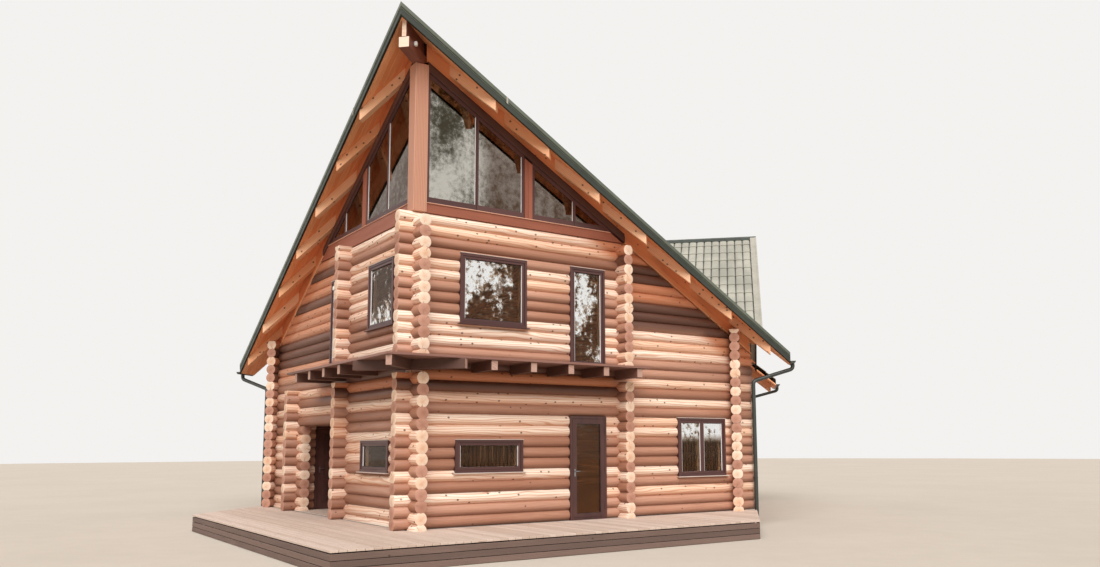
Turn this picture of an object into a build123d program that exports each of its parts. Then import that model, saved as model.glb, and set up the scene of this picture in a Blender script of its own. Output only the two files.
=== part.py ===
"""Log house with a glazed prow.

Two wings of round logs meet at right angles under the ridge, the side walls run back from them,
and a steep roof covers both storeys, with a cross gable over each side wall. Lengths are in
millimetres. The ridge runs along Y, the prow points to -Y, and the origin lies on the ground,
below the ridge and on the line between the two wing corners.
"""
from build123d import *
from dataclasses import dataclass
from math import asin, cos, sin, sqrt
import os

# Plan: the walls' axes
wing_run = 6250
wing_length = wing_run * sqrt(2)
house_depth = 10500
crossing_right = 5100
crossing_left = 3400
niche_far_wall = 6840
niche_depth = 1900

# Logs
log_course = 225
log_radius = 130
faces_per_side = 3
log_end_length = 290
corner_run_on = 500

# Levels, from the ground and then from the foot of the walls
wall_base = 400
right_sill_courses = 28
left_sill_courses = 27.5
right_door_courses = 10
niche_courses = 9.5
low_stack_top = 3037.5
high_stack_foot = 3375
ground_floor_thickness = 100
upper_floor_top = 3340
upper_floor_thickness = 302.5

# Roof
ridge_height = 10250
eave_height = 3940
cover_depth = 200
board_depth = 40
rafter_depth = 260
rake_depth = 370
prow_overhang = 1100
eave_reach = 7650
roof_slope = (ridge_height - eave_height) / eave_reach
rafter_width = 150
rafter_spacing = 940
first_rafter = 550
rafter_setback = 150
ridge_beam_size = 220
ridge_beam_drop = 620
ridge_board_width = 100
ridge_beam_reach = 900
eave_length = 800
cross_verge_reach = 7000
cross_valley_reach = 6700
verge_width = 50
verge_depth = 250
verge_lip = 15

# Gable glazing above the wings
glazing_sill = 6500
post_size = 300
glazing_post = (2490, 2690)
frame_bar = 70
frame_depth = 90
glass_thickness = 24

# Terrace and balcony
deck_reach = 2520
deck_half_width = 6700
deck_board_thickness = 40
bearer_width = 80
bearer_depth = 160
bearer_spacing = 1500
skirt_thickness = 25
balcony_reach = 1000
balcony_length_right = 5230
balcony_top = 3340
balcony_board = 50
joist_width = 150
joist_depth = 200
joist_spacing = 920
joist_inset = 40
first_joist_right = 1280
first_joist_left = 1600
balcony_length_left = 4950
beam_width = 160
beam_reach = 1150

# Windows and doors: from and to along the wall, and from and to above its foot
right_low_window = ((860, 2450), (1070, 1730))
right_rear_window = ((6770, 8310), (870, 2250))
right_high_window = ((930, 2530), (4100, 5570))
right_balcony_door = ((3670, 4620), (3350, 5580))
left_low_window = ((900, 2390), (1070, 1730))
left_high_window = ((800, 2150), (4100, 5530))
left_balcony_door = ((3550, 4470), (3350, 5540))
terrace_door = ((3650, 4630), (0, 2250))
entrance_door = ((360, 1360), (0, 2137.5))
side_windows = (((1700, 3240), (870, 2260)), ((7260, 8800), (870, 2260)), ((4450, 6050), (4100, 5570)))
back_windows = (((2300, 3900), (870, 2260)), ((8600, 10200), (870, 2260)),
                ((2900, 4500), (4100, 5570)), ((8000, 9600), (4100, 5570)))
casing = 55
casing_proud = 15
sill_rise = 25
sash_bar = 60
leaf_gap = 5
leaf_thickness = 60
leaf_bar = 110
hinge_radius = 8
hinge_faces = 10
hinge_length = 60
hinge_lift = 10
hinge_plate = 3
hinge_plate_width = 30
hinge_play = 0.3
hinge_heights = (0.12, 0.5, 0.88)
handle_height = 1050

# Gutters and downpipes
gutter_radius = 70
gutter_wall = 4
downpipe_radius = 50
pipe_faces = 12
pipe_stand_off = 25
pipe_foot = 150
neck_drop = 120
neck_height = 3220
clip_size = 40
seat_play = 0.3

joint_reach = asin(log_course / 2 / log_radius)
middle_facet = joint_reach / faces_per_side if faces_per_side % 2 else 0


def log_levels(bottom, top, first_joint):
    """Heights and half widths up one side of a stack of logs, whose joints start at first_joint.

    The faces are few, and the crown of each log, a corner or a flat, reaches the full radius.
    """
    levels = []
    course = int((bottom - first_joint) // log_course) - 1
    while first_joint + course * log_course < top:
        centre = first_joint + (course + 0.5) * log_course
        for step in range(faces_per_side + 1):
            angle = joint_reach * (2 * step / faces_per_side - 1)
            height = centre + log_radius * sin(angle)
            is_new = not levels or height > levels[-1][0] + 0.01
            if is_new and bottom - 0.01 <= height <= top + 0.01:
                levels.append((height, log_radius * cos(angle) / cos(middle_facet)))
        course += 1
    return levels


@dataclass
class Wall:
    """A straight wall: where its axis starts, its heading, and which side of the heading is outside.

    Its lowest joint of two logs lies first_joint above its foot, and its inner face is flat along the room.
    """

    start: tuple
    heading: tuple
    outward: int
    first_joint: float
    room: tuple = (0, 0)

    def frame(self):
        """Plane with X along the wall, Z up, and its origin at the wall's foot."""
        return Plane(origin=(*self.start, wall_base), x_dir=(*self.heading, 0), z_dir=(0, 0, 1))

    def point(self, along, out=0, up=0):
        return self.frame().from_local_coords(Vector(along, out * self.outward, up))

    def block(self, along, out, up, mode=Mode.ADD):
        """A box given by its ranges along the wall, outward from its axis, and up from its foot."""
        middle = [sum(pair) / 2 for pair in (along, out, up)]
        size = [pair[1] - pair[0] for pair in (along, out, up)]
        middle[1] *= self.outward
        with Locations(self.frame().location * Pos(*middle)):
            Box(*size, mode=mode)

    def logs(self, along, up):
        """Logs on each other between two heights: round outside, and flat on the side of the room."""
        levels = log_levels(up[0], up[1], self.first_joint)
        outside = [(self.outward * half, height) for height, half in levels]
        round_inside = [(-self.outward * half, height) for height, half in reversed(levels)]
        flat_inside = [(-self.outward * log_radius, levels[-1][0]), (-self.outward * log_radius, levels[0][0])]
        room_start, room_end = [min(max(end, along[0]), along[1]) for end in self.room]
        for start, end, inside in ((along[0], room_start, round_inside), (room_start, room_end, flat_inside),
                                   (room_end, along[1], round_inside)):
            if end > start:
                plane = Plane(origin=self.point(start), x_dir=Vector(0, 0, 1).cross(Vector(*self.heading, 0)),
                              z_dir=(*self.heading, 0))
                with BuildSketch(plane, mode=Mode.PRIVATE) as section:
                    with BuildLine():
                        Polyline(*outside, *inside, close=True)
                    make_face()
                extrude(section.sketch, amount=end - start)

    def opening(self, hole, deep=400):
        """Cuts a window or doorway through the wall."""
        self.block(hole[0], (-deep, deep), hole[1], mode=Mode.SUBTRACT)

    def panel(self, points, out, mode=Mode.ADD):
        """A board standing in the wall: an outline of places along and up, thick from out[0] to out[1]."""
        face_plane = Plane(origin=self.point(0, out[0]), x_dir=(*self.heading, 0),
                           z_dir=Vector(*self.heading, 0).cross(Vector(0, 0, 1)))
        with BuildSketch(face_plane, mode=Mode.PRIVATE) as outline:
            with BuildLine():
                Polyline(*points, close=True)
            make_face()
        extrude(outline.sketch, amount=-(out[1] - out[0]) * self.outward, mode=mode)


wing_room = (-log_radius, wing_length + log_radius)
side_room = (-log_radius, house_depth + log_radius)
right_wing = Wall((0, -wing_run), (1, 1), -1, 0, wing_room)
left_wing = Wall((0, -wing_run), (-1, 1), 1, -log_course / 2, wing_room)
right_side = Wall((wing_run, 0), (0, 1), -1, -log_course / 2, side_room)
left_side = Wall((-wing_run, 0), (0, 1), 1, 0, side_room)
back = Wall((-wing_run, house_depth), (1, 0), 1, 0, (-log_radius, 2 * wing_run + log_radius))
niche_end = niche_depth + log_radius


def inward_wall(along, outward):
    """The niche's side walls stand across the left wing and run into the house."""
    foot = left_wing.point(along)
    return Wall((foot.X, foot.Y), (1, 1), outward, 0, (-log_radius, niche_end))


niche_near = inward_wall(crossing_left, 1)
niche_door_side = inward_wall(niche_far_wall, -1)
niche_back_foot = left_wing.point(crossing_left, -niche_depth)
niche_back = Wall((niche_back_foot.X, niche_back_foot.Y), (-1, 1), 1, -log_course / 2, (0, wing_length))

ground_right = right_door_courses * log_course
ground_left = niche_courses * log_course
top_right = right_sill_courses * log_course
top_left = left_sill_courses * log_course
rake_top = ridge_height - cover_depth - board_depth - rafter_depth
rake_bottom = rake_top - rake_depth
run_on = log_radius + log_end_length
front_tip = -wing_run - prow_overhang
back_edge = house_depth + prow_overhang
eave_start = front_tip + eave_reach
eave_end = eave_start + eave_length
rear_eave_start = house_depth - eave_end
plate_top = rake_top - roof_slope * (wing_run + log_radius)
balcony_bottom = balcony_top - balcony_board - joist_depth
ridge_beam_top = ridge_height - ridge_beam_drop
beam_foot = ridge_beam_top - ridge_beam_size
cross_ridge_height = ridge_height - roof_slope * (cross_valley_reach - (house_depth / 2 - eave_end))


def roof_line(top, x):
    """Height of a plane of the main roof at a distance from the ridge."""
    return wall_base + top - roof_slope * abs(x)


def region_above(top):
    """All that lies above a plane of the main roof."""
    reach = 9000
    with BuildPart() as region:
        with BuildSketch(Plane.XZ.offset(reach)):
            with BuildLine():
                Polyline((0, roof_line(top, 0)), (reach, roof_line(top, reach)), (reach, 2 * ridge_height),
                         (-reach, 2 * ridge_height), (-reach, roof_line(top, reach)), close=True)
            make_face()
        extrude(amount=-3 * reach)
    return region.part


def roof_band(upper, lower, outline):
    """A layer of the main roof between two heights at the ridge, over an outline in plan."""
    reach = eave_reach
    start = -(front_tip - 10)
    with BuildPart() as layer:
        with BuildSketch(Plane.XZ.offset(start)):
            with BuildLine():
                Polyline((0, roof_line(upper, 0)), (reach, roof_line(upper, reach)),
                         (reach, roof_line(lower, reach)), (0, roof_line(lower, 0)),
                         (-reach, roof_line(lower, reach)), (-reach, roof_line(upper, reach)), close=True)
            make_face()
        extrude(amount=-(start + back_edge + 10))
        with BuildSketch(Plane.XY):
            with BuildLine():
                Polyline(*outline, close=True)
            make_face()
        extrude(amount=2 * ridge_height, mode=Mode.INTERSECT)
    return layer.part


def roof_layer(upper, lower):
    """A layer of the main roof over the plan that the verge boards and eaves bound."""
    verge = verge_width * sqrt(2)
    half = [(eave_reach, eave_start + verge), (eave_reach, eave_end), (cross_verge_reach, eave_end),
            (cross_verge_reach, rear_eave_start), (eave_reach, rear_eave_start),
            (eave_reach, back_edge - verge_width)]
    outline = [(0, front_tip + verge), *half, *[(-x, y) for x, y in reversed(half)]]
    with BuildPart() as layer:
        add(roof_band(upper, lower, outline))
        add(cross_attic, mode=Mode.SUBTRACT)
    return layer.part


def cross_line(top, y):
    """Height of a plane of the cross roof at a distance from its own ridge."""
    return wall_base + top - roof_slope * abs(y - house_depth / 2)


def cross_prism(upper, lower, reach):
    """A layer of the cross roof, which runs across the house to the same reach on both sides."""
    middle = house_depth / 2
    span = middle + 1200
    with BuildPart() as prism:
        with BuildSketch(Plane.YZ.offset(-reach)):
            with BuildLine():
                Polyline((middle, cross_line(upper, middle)), (middle + span, cross_line(upper, middle + span)),
                         (middle + span, cross_line(lower, middle + span)), (middle, cross_line(lower, middle)),
                         (middle - span, cross_line(lower, middle - span)),
                         (middle - span, cross_line(upper, middle - span)), close=True)
            make_face()
        extrude(amount=2 * reach)
    return prism.part


def under_cross_roof(reach):
    """The room under the cross roof's boards."""
    middle = house_depth / 2
    under = cross_ridge_height - cover_depth - board_depth
    half = middle + 2000
    with BuildPart() as room:
        with BuildSketch(Plane.YZ.offset(-reach)):
            with BuildLine():
                Polyline((middle, cross_line(under, middle)), (middle + half, cross_line(under, middle + half)),
                         (middle - half, cross_line(under, middle - half)), close=True)
            make_face()
        extrude(amount=2 * reach)
    return room.part


cross_attic = under_cross_roof(cross_verge_reach)
above_rake = region_above(rake_bottom)
above_rafters = region_above(rake_top)
above_main_roof = region_above(ridge_height)


def save(piece, name):
    """Labels a finished piece and writes its STEP file."""
    piece.part.label = name
    export_step(piece.part, f"parts/{name}.step")


os.makedirs("parts", exist_ok=True)


def envelope(wall, mode=Mode.SUBTRACT):
    """Cuts a crossing wall where another wall runs through it."""
    wall.block((-2000, 3 * house_depth), (-log_radius, log_radius), (-10, 2 * ridge_height), mode)


# Ridge beam, with the board on it that the rafters butt against
with BuildPart() as ridge_beam:
    with Locations((0, -wing_run - ridge_beam_reach, wall_base + beam_foot)):
        Box(ridge_beam_size, house_depth + wing_run + 2 * ridge_beam_reach, ridge_beam_size,
            align=(Align.CENTER, Align.MIN, Align.MIN))
    with Locations((0, -wing_run - ridge_beam_reach, wall_base + ridge_beam_top)):
        Box(ridge_board_width, house_depth + wing_run + 2 * ridge_beam_reach, rake_top + rafter_depth - ridge_beam_top,
            align=(Align.CENTER, Align.MIN, Align.MIN))
    add(region_above(rake_top + rafter_depth), mode=Mode.SUBTRACT)
save(ridge_beam, "ridge_beam")

# Foundation, floors and terrace
outer = log_radius + 20
house_outline = [(0, -wing_run - outer * sqrt(2)), (wing_run + outer, -outer * (sqrt(2) - 1)),
                 (wing_run + outer, house_depth + outer), (-wing_run - outer, house_depth + outer),
                 (-wing_run - outer, -outer * (sqrt(2) - 1))]
inner = -log_radius
room_outline = [(0, -wing_run - inner * sqrt(2)), (wing_run + inner, -inner * (sqrt(2) - 1)),
                (wing_run + inner, house_depth + inner), (-wing_run - inner, house_depth + inner),
                (-wing_run - inner, -inner * (sqrt(2) - 1))]

with BuildPart() as foundation:
    with BuildSketch():
        with BuildLine():
            Polyline(*house_outline, close=True)
        make_face()
    extrude(amount=wall_base)
save(foundation, "foundation")

niche_box = ((crossing_left - log_radius, niche_far_wall + log_radius),
             (-niche_depth - log_radius, log_radius + 5), (-10, 2 * ground_floor_thickness))
with BuildPart() as ground_floor:
    with BuildSketch(Plane.XY.offset(wall_base)):
        with BuildLine():
            Polyline(*room_outline, close=True)
        make_face()
    extrude(amount=ground_floor_thickness)
    left_wing.block(*niche_box, mode=Mode.SUBTRACT)
    for wall in (niche_near, niche_door_side):
        wall.block((0, niche_end), (-log_radius, log_radius), (-10, 2 * ground_floor_thickness),
                   mode=Mode.SUBTRACT)
save(ground_floor, "ground_floor")

with BuildPart() as upper_floor:
    with BuildSketch(Plane.XY.offset(wall_base + upper_floor_top - upper_floor_thickness)):
        with BuildLine():
            Polyline(*room_outline, close=True)
        make_face()
    extrude(amount=upper_floor_thickness)
save(upper_floor, "upper_floor")

deck_tip = -wing_run - deck_reach * sqrt(2)
deck_outline = [(0, deck_tip), (deck_half_width, deck_tip + deck_half_width), (deck_half_width, 0),
                (wing_run + outer, 0), (wing_run + outer, -outer * (sqrt(2) - 1)),
                (0, -wing_run - outer * sqrt(2)), (-wing_run - outer, -outer * (sqrt(2) - 1)),
                (-wing_run - outer, 0), (-deck_half_width, 0), (-deck_half_width, deck_tip + deck_half_width)]
with BuildPart() as deck_boards:
    with BuildSketch(Plane.XY.offset(wall_base)):
        with BuildLine():
            Polyline(*deck_outline, close=True)
        make_face()
    extrude(amount=-deck_board_thickness)
save(deck_boards, "deck_boards")

with BuildPart() as deck_skirt:
    with BuildSketch():
        with BuildLine():
            Polyline(*deck_outline, close=True)
        make_face()
        with BuildLine():
            edge = skirt_thickness * sqrt(2)
            Polyline((0, deck_tip + edge), (deck_half_width - skirt_thickness, deck_tip + edge + deck_half_width
                     - skirt_thickness), (deck_half_width - skirt_thickness, 10), (wing_run, 10), (0, -wing_run),
                     (-wing_run, 10), (-deck_half_width + skirt_thickness, 10),
                     (-deck_half_width + skirt_thickness, deck_tip + edge + deck_half_width - skirt_thickness),
                     close=True)
        make_face(mode=Mode.SUBTRACT)
    extrude(amount=wall_base - deck_board_thickness)
save(deck_skirt, "deck_skirt")

with BuildPart() as deck_bearers:
    for wing in (right_wing, left_wing):
        for count in range(1, 6):
            place = count * bearer_spacing - bearer_spacing / 2
            wing.block((place, place + bearer_width), (outer, deck_reach - skirt_thickness),
                       (-deck_board_thickness - bearer_depth, -deck_board_thickness))
            wing.block((place, place + bearer_width), (deck_reach / 2, deck_reach / 2 + bearer_width),
                       (-wall_base, -deck_board_thickness - bearer_depth))
save(deck_bearers, "deck_bearers")

# Right wing
with BuildPart() as right_wall_ground:
    right_wing.logs((-run_on, terrace_door[0][0]), (0, ground_right))
    right_wing.logs((terrace_door[0][1], wing_length + corner_run_on), (0, ground_right))
    right_wing.opening(right_low_window)
    right_wing.opening(right_rear_window)
save(right_wall_ground, "right_wall_ground")

with BuildPart() as right_wall_upper:
    right_wing.logs((-run_on, wing_length + corner_run_on), (ground_right, top_right))
    right_wing.opening(right_high_window)
    right_wing.opening(right_balcony_door)
    right_wing.block((-2 * run_on, -log_radius), (-run_on, run_on), (low_stack_top, high_stack_foot),
                     mode=Mode.SUBTRACT)
    add(above_rake, mode=Mode.SUBTRACT)
save(right_wall_upper, "right_wall_upper")

# Left wing, whose logs butt against the right wing's at the prow
with BuildPart() as left_wall_ground:
    left_wing.logs((-run_on, crossing_left + run_on), (0, ground_left))
    left_wing.logs((niche_far_wall - run_on, wing_length + corner_run_on), (0, ground_left))
    left_wing.opening(left_low_window)
    envelope(right_wing)
save(left_wall_ground, "left_wall_ground")

with BuildPart() as left_wall_upper:
    left_wing.logs((-run_on, wing_length + corner_run_on), (ground_left, top_left))
    left_wing.opening(left_high_window)
    left_wing.opening(left_balcony_door)
    left_wing.block((-2 * run_on, -log_radius), (-run_on, run_on), (low_stack_top, high_stack_foot),
                    mode=Mode.SUBTRACT)
    envelope(right_wing)
    add(above_rake, mode=Mode.SUBTRACT)
save(left_wall_upper, "left_wall_upper")

# Ends of the cross walls' logs, which pass out through the wings
with BuildPart() as cross_log_ends:
    foot = right_wing.point(crossing_right)
    across_right = Wall((foot.X, foot.Y), (1, -1), 1, -log_course / 2)
    across_right.logs((log_radius, run_on), (0, low_stack_top))
    across_right.logs((log_radius, run_on), (high_stack_foot, top_left))
    foot = left_wing.point(crossing_left)
    Wall((foot.X, foot.Y), (-1, -1), 1, 0).logs((log_radius, run_on), (high_stack_foot, top_left))
save(cross_log_ends, "cross_log_ends")

# Entrance niche
with BuildPart() as niche_near_wall:
    niche_near.logs((-run_on, niche_end), (0, low_stack_top))
    envelope(left_wing)
save(niche_near_wall, "niche_near_wall")

door_span = entrance_door[0]
with BuildPart() as niche_door_wall:
    niche_door_side.logs((-run_on, door_span[0]), (0, ground_left))
    niche_door_side.logs((door_span[1], niche_end), (0, ground_left))
    envelope(left_wing)
save(niche_door_wall, "niche_door_wall")

with BuildPart() as niche_wall_over_door:
    niche_door_side.logs((-run_on, niche_end), (ground_left, low_stack_top))
    envelope(left_wing)
save(niche_wall_over_door, "niche_wall_over_door")

with BuildPart() as niche_back_wall:
    niche_back.logs((log_radius, niche_far_wall - crossing_left - log_radius), (0, low_stack_top))
save(niche_back_wall, "niche_back_wall")

# Side and back walls, with the cross gables
gable_foot = (cross_ridge_height - cover_depth - board_depth - plate_top) / roof_slope
gable_top = cross_ridge_height - cover_depth - board_depth
middle = house_depth / 2
gable_cut = [(-2000, plate_top), (middle - gable_foot, plate_top), (middle, gable_top),
             (middle + gable_foot, plate_top), (house_depth + 2000, plate_top),
             (house_depth + 2000, ridge_height), (-2000, ridge_height)]


with BuildPart() as side_walls:
    for wall, wing in ((right_side, right_wing), (left_side, left_wing)):
        wall.logs((-run_on, house_depth + run_on), (0, gable_top + log_course))
        for hole in side_windows:
            wall.opening(hole)
        envelope(wing)
        wall.panel(gable_cut, (-2 * log_radius, 2 * log_radius), mode=Mode.SUBTRACT)
save(side_walls, "side_walls")

with BuildPart() as back_wall:
    back.logs((-run_on, 2 * wing_run + run_on), (0, rake_top + log_course))
    for hole in back_windows:
        back.opening(hole)
    envelope(right_side)
    envelope(left_side)
    add(above_rafters, mode=Mode.SUBTRACT)
    add(ridge_beam.part, mode=Mode.SUBTRACT)
save(back_wall, "back_wall")

# Balcony round the prow
def corner_xy(wing, along, out):
    place = wing.point(along, out)
    return (place.X, place.Y)


with BuildPart() as balcony_boards:
    with BuildSketch(Plane.XY.offset(wall_base + balcony_top)):
        with BuildLine():
            Polyline((0, -wing_run - balcony_reach * sqrt(2)),
                     corner_xy(right_wing, balcony_length_right, balcony_reach),
                     corner_xy(right_wing, balcony_length_right, log_radius),
                     (0, -wing_run - log_radius * sqrt(2)),
                     corner_xy(left_wing, balcony_length_left, log_radius),
                     corner_xy(left_wing, balcony_length_left, balcony_reach), close=True)
        make_face()
    extrude(amount=-balcony_board)
save(balcony_boards, "balcony_boards")

joist_levels = (balcony_bottom, balcony_bottom + joist_depth)
with BuildPart() as balcony_joists:
    for wing, first, length in ((right_wing, first_joist_right, balcony_length_right),
                                (left_wing, first_joist_left, balcony_length_left)):
        place = first
        while place + joist_width / 2 < length:
            wing.block((place - joist_width / 2, place + joist_width / 2), (log_radius, balcony_reach - joist_inset),
                       joist_levels)
            place += joist_spacing
save(balcony_joists, "balcony_joists")

beam_back = -wing_run - log_radius * sqrt(2)
with BuildPart() as balcony_beams:
    with Locations((0, beam_back - beam_width / 2, wall_base + balcony_bottom + joist_depth / 2)):
        Box(2 * beam_reach, beam_width, joist_depth)
    with Locations((0, beam_back - beam_width, wall_base + balcony_bottom + joist_depth / 2)):
        Box(beam_width * 0.8, balcony_reach * sqrt(2) - log_radius * sqrt(2) - beam_width - 2 * joist_inset,
            joist_depth, align=(Align.CENTER, Align.MAX, Align.CENTER))
save(balcony_beams, "balcony_beams")


# Gable above the wings: sills, post, rake boards, frames and glass
def rake_height(along, level):
    """Height above the wall's foot of a roof plane over a place along a wing."""
    return level - roof_slope * along / sqrt(2)


def rake_place(height, level):
    """The place along a wing where a roof plane comes down to a height."""
    return (level - height) / roof_slope * sqrt(2)


sill_end = rake_place(glazing_sill, rake_bottom)
with BuildPart() as gable_post:
    with Locations(Location((0, -wing_run, wall_base + top_right), (0, 0, 45))):
        Box(post_size, post_size, beam_foot - top_right, align=(Align.CENTER, Align.CENTER, Align.MIN))
save(gable_post, "gable_post")


def glazing_lights(near):
    """From and to along the wing of each pane, between the frame's upright bars."""
    middle_first = (near + glazing_post[0]) / 2
    middle_second = (glazing_post[1] + sill_end) / 2
    half = frame_bar / 2
    return ((near + frame_bar, middle_first - half), (middle_first + half, glazing_post[0] - frame_bar),
            (glazing_post[1] + frame_bar, middle_second - half), (middle_second + half, None))


def light_outline(start, end):
    """Outline of one pane under the slope; the last one is a triangle."""
    foot = glazing_sill + frame_bar
    slope_level = rake_bottom - frame_bar * sqrt(1 + roof_slope ** 2)
    if end is None:
        return [(start, foot), (rake_place(foot, slope_level), foot), (start, rake_height(start, slope_level))]
    return [(start, foot), (end, foot), (end, rake_height(end, slope_level)),
            (start, rake_height(start, slope_level))]


near = post_size / 2
with BuildPart() as gable_sills:
    for wing, top in ((right_wing, top_right), (left_wing, top_left)):
        wing.block((near, rake_place(top, rake_bottom)), (-log_radius, log_radius - 10), (top, glazing_sill))
    add(above_rake, mode=Mode.SUBTRACT)
save(gable_sills, "gable_sills")

with BuildPart() as gable_rakes:
    for wing in (right_wing, left_wing):
        wing.block((near, wing_length + corner_run_on), (-log_radius, log_radius - 10), (0, ridge_height))
    add(above_rake, mode=Mode.INTERSECT)
    add(above_rafters, mode=Mode.SUBTRACT)
    add(ridge_beam.part, mode=Mode.SUBTRACT)
save(gable_rakes, "gable_rakes")

with BuildPart() as gable_frames:
    for wing in (right_wing, left_wing):
        wing.panel([(near, glazing_sill), (sill_end, glazing_sill), (near, rake_height(near, rake_bottom))],
                   (0, frame_depth))
        for start, end in glazing_lights(near):
            wing.panel(light_outline(start, end), (-10, frame_depth + 10), mode=Mode.SUBTRACT)
    add(above_rake, mode=Mode.SUBTRACT)
save(gable_frames, "gable_frames")

with BuildPart() as gable_glass:
    for wing in (right_wing, left_wing):
        for start, end in glazing_lights(post_size / 2):
            wing.panel(light_outline(start, end), (frame_depth / 2, frame_depth / 2 + glass_thickness))
save(gable_glass, "gable_glass")


# Windows and upper doors
def window(wall, hole, bars):
    """Casing and sash of one window as one solid, with upright bars at the given places."""
    (near, far), (low, high) = hole
    face = (log_radius - casing - 30, log_radius + casing_proud)
    wall.block((near, far), face, (low, high))
    panes = window_panes(hole, bars)
    for pane in panes:
        wall.block(pane, (-log_radius, 2 * log_radius), (low + casing + sash_bar, high - casing - sash_bar),
                   mode=Mode.SUBTRACT)


def window_panes(hole, bars):
    (near, far), _ = hole
    edges = [near + casing, *bars, far - casing]
    panes = []
    for first, second in zip(edges, edges[1:]):
        panes.append((first + sash_bar, second - sash_bar))
    return panes


def window_glass(wall, hole, bars):
    _, (low, high) = hole
    for pane in window_panes(hole, bars):
        wall.block(pane, (log_radius - casing, log_radius - casing + glass_thickness),
                   (low + casing + sash_bar, high - casing - sash_bar))


def half_way(hole):
    return [sum(hole[0]) / 2]


window_groups = {
    "wing_windows": [(right_wing, right_low_window, []), (right_wing, right_rear_window, half_way(right_rear_window)),
                     (right_wing, right_high_window, []), (left_wing, left_low_window, []),
                     (left_wing, left_high_window, [])],
    "rear_windows": [(wall, hole, half_way(hole)) for wall in (right_side, left_side) for hole in side_windows]
                    + [(back, hole, half_way(hole)) for hole in back_windows],
    "balcony_doors": [(right_wing, right_balcony_door, []), (left_wing, left_balcony_door, [])],
}
for group, windows in window_groups.items():
    with BuildPart() as frames:
        for wall, hole, bars in windows:
            window(wall, hole, bars)
    save(frames, f"{group}_frames")
    with BuildPart() as panes:
        for wall, hole, bars in windows:
            window_glass(wall, hole, bars)
    save(panes, f"{group}_glass")


# Doors that open: each has a casing, hinges, a leaf and a handle
def door_leaf_size(hole):
    """The leaf's range along the wall and up, inside its casing and clear of it."""
    inset = casing + leaf_gap
    return ((hole[0][0] + inset, hole[0][1] - inset), (hole[1][0] + sill_rise + leaf_gap, hole[1][1] - inset))


def hinge_half(wall, pivot, side, face, up):
    """Half of a lift-off hinge: its barrel and the plate that fastens it to a face on one side."""
    with BuildSketch(Plane(origin=wall.point(pivot, face + hinge_lift, up[0])), mode=Mode.PRIVATE) as barrel:
        RegularPolygon(hinge_radius, hinge_faces)
    extrude(barrel.sketch, amount=up[1] - up[0])
    plate = sorted((pivot + side * leaf_gap / 2, pivot + side * (leaf_gap / 2 + hinge_plate_width)))
    wall.block(plate, (face, face + hinge_plate), up)
    neck = sorted((pivot + side * leaf_gap / 2, pivot + side * 1.5 * hinge_radius))
    wall.block(neck, (face + hinge_plate, face + hinge_lift), up)


def build_door(wall, hole, hinge_end, name):
    """hinge_end is 1 where the hinges are at the far end of the opening along the wall, and else 0."""
    (near, far), (low, high) = hole
    out = (log_radius + casing_proud - leaf_thickness - 40, log_radius + casing_proud)
    leaf_along, leaf_up = door_leaf_size(hole)
    leaf_out = (out[1] - leaf_thickness, out[1])
    side = 1 if hinge_end else -1
    leaf_edge = leaf_along[hinge_end]
    pivot = leaf_edge + side * leaf_gap / 2
    with BuildPart() as frame:
        wall.block((near, near + casing), out, (low, high))
        wall.block((far - casing, far), out, (low, high))
        wall.block((near + casing, far - casing), out, (high - casing, high))
        wall.block((near + casing, far - casing), (out[0], out[1]), (low, low + sill_rise))
        for height in hinge_heights:
            up = leaf_up[0] + height * (leaf_up[1] - leaf_up[0])
            hinge_half(wall, pivot, side, out[1], (up - hinge_length, up))
    save(frame, f"{name}_frame")

    with BuildPart() as leaf:
        wall.block(leaf_along, leaf_out, leaf_up)
        if name == "terrace_door":
            wall.block((leaf_along[0] + leaf_bar, leaf_along[1] - leaf_bar), (-log_radius, 2 * log_radius),
                       (leaf_up[0] + leaf_bar, leaf_up[1] - leaf_bar), mode=Mode.SUBTRACT)
        for height in hinge_heights:
            up = leaf_up[0] + height * (leaf_up[1] - leaf_up[0])
            hinge_half(wall, pivot, -side, out[1], (up + hinge_play, up + hinge_length))
    save(leaf, f"{name}_leaf")

    if name == "terrace_door":
        with BuildPart() as glass:
            wall.block((leaf_along[0] + leaf_bar, leaf_along[1] - leaf_bar),
                       (leaf_out[0] + 18, leaf_out[0] + 18 + glass_thickness),
                       (leaf_up[0] + leaf_bar, leaf_up[1] - leaf_bar))
        save(glass, f"{name}_glass")

    lock_edge = leaf_along[1 - hinge_end] + side * leaf_bar / 2
    with BuildPart() as handle:
        wall.block((lock_edge - 15, lock_edge + 15), (out[1], out[1] + 8), (handle_height - 110, handle_height + 50))
        wall.block((lock_edge - 8, lock_edge + 8), (out[1] + 8, out[1] + 50), (handle_height - 8, handle_height + 8))
        start, end = sorted((lock_edge - side * 8, lock_edge + side * 115))
        wall.block((start, end), (out[1] + 34, out[1] + 50), (handle_height - 8, handle_height + 8))
    save(handle, f"{name}_handle")
    print(name, "pivot", wall.point(pivot, out[1] + hinge_lift, (leaf_up[0] + leaf_up[1]) / 2))


build_door(right_wing, terrace_door, 1, "terrace_door")
build_door(niche_door_side, entrance_door, 1, "entrance_door")

# Roof
def rafter_rows():
    """The rafters' places along the ridge, each with the reach of its foot from the ridge."""
    rows = []
    place = -wing_run + first_rafter
    while place < house_depth - rafter_spacing / 2:
        rows.append((place, min(place - front_tip - rafter_setback, eave_reach - rafter_setback)))
        place += rafter_spacing
    rows += [(house_depth, eave_reach - rafter_setback), (house_depth + rafter_spacing, eave_reach - rafter_setback)]
    return rows


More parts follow.
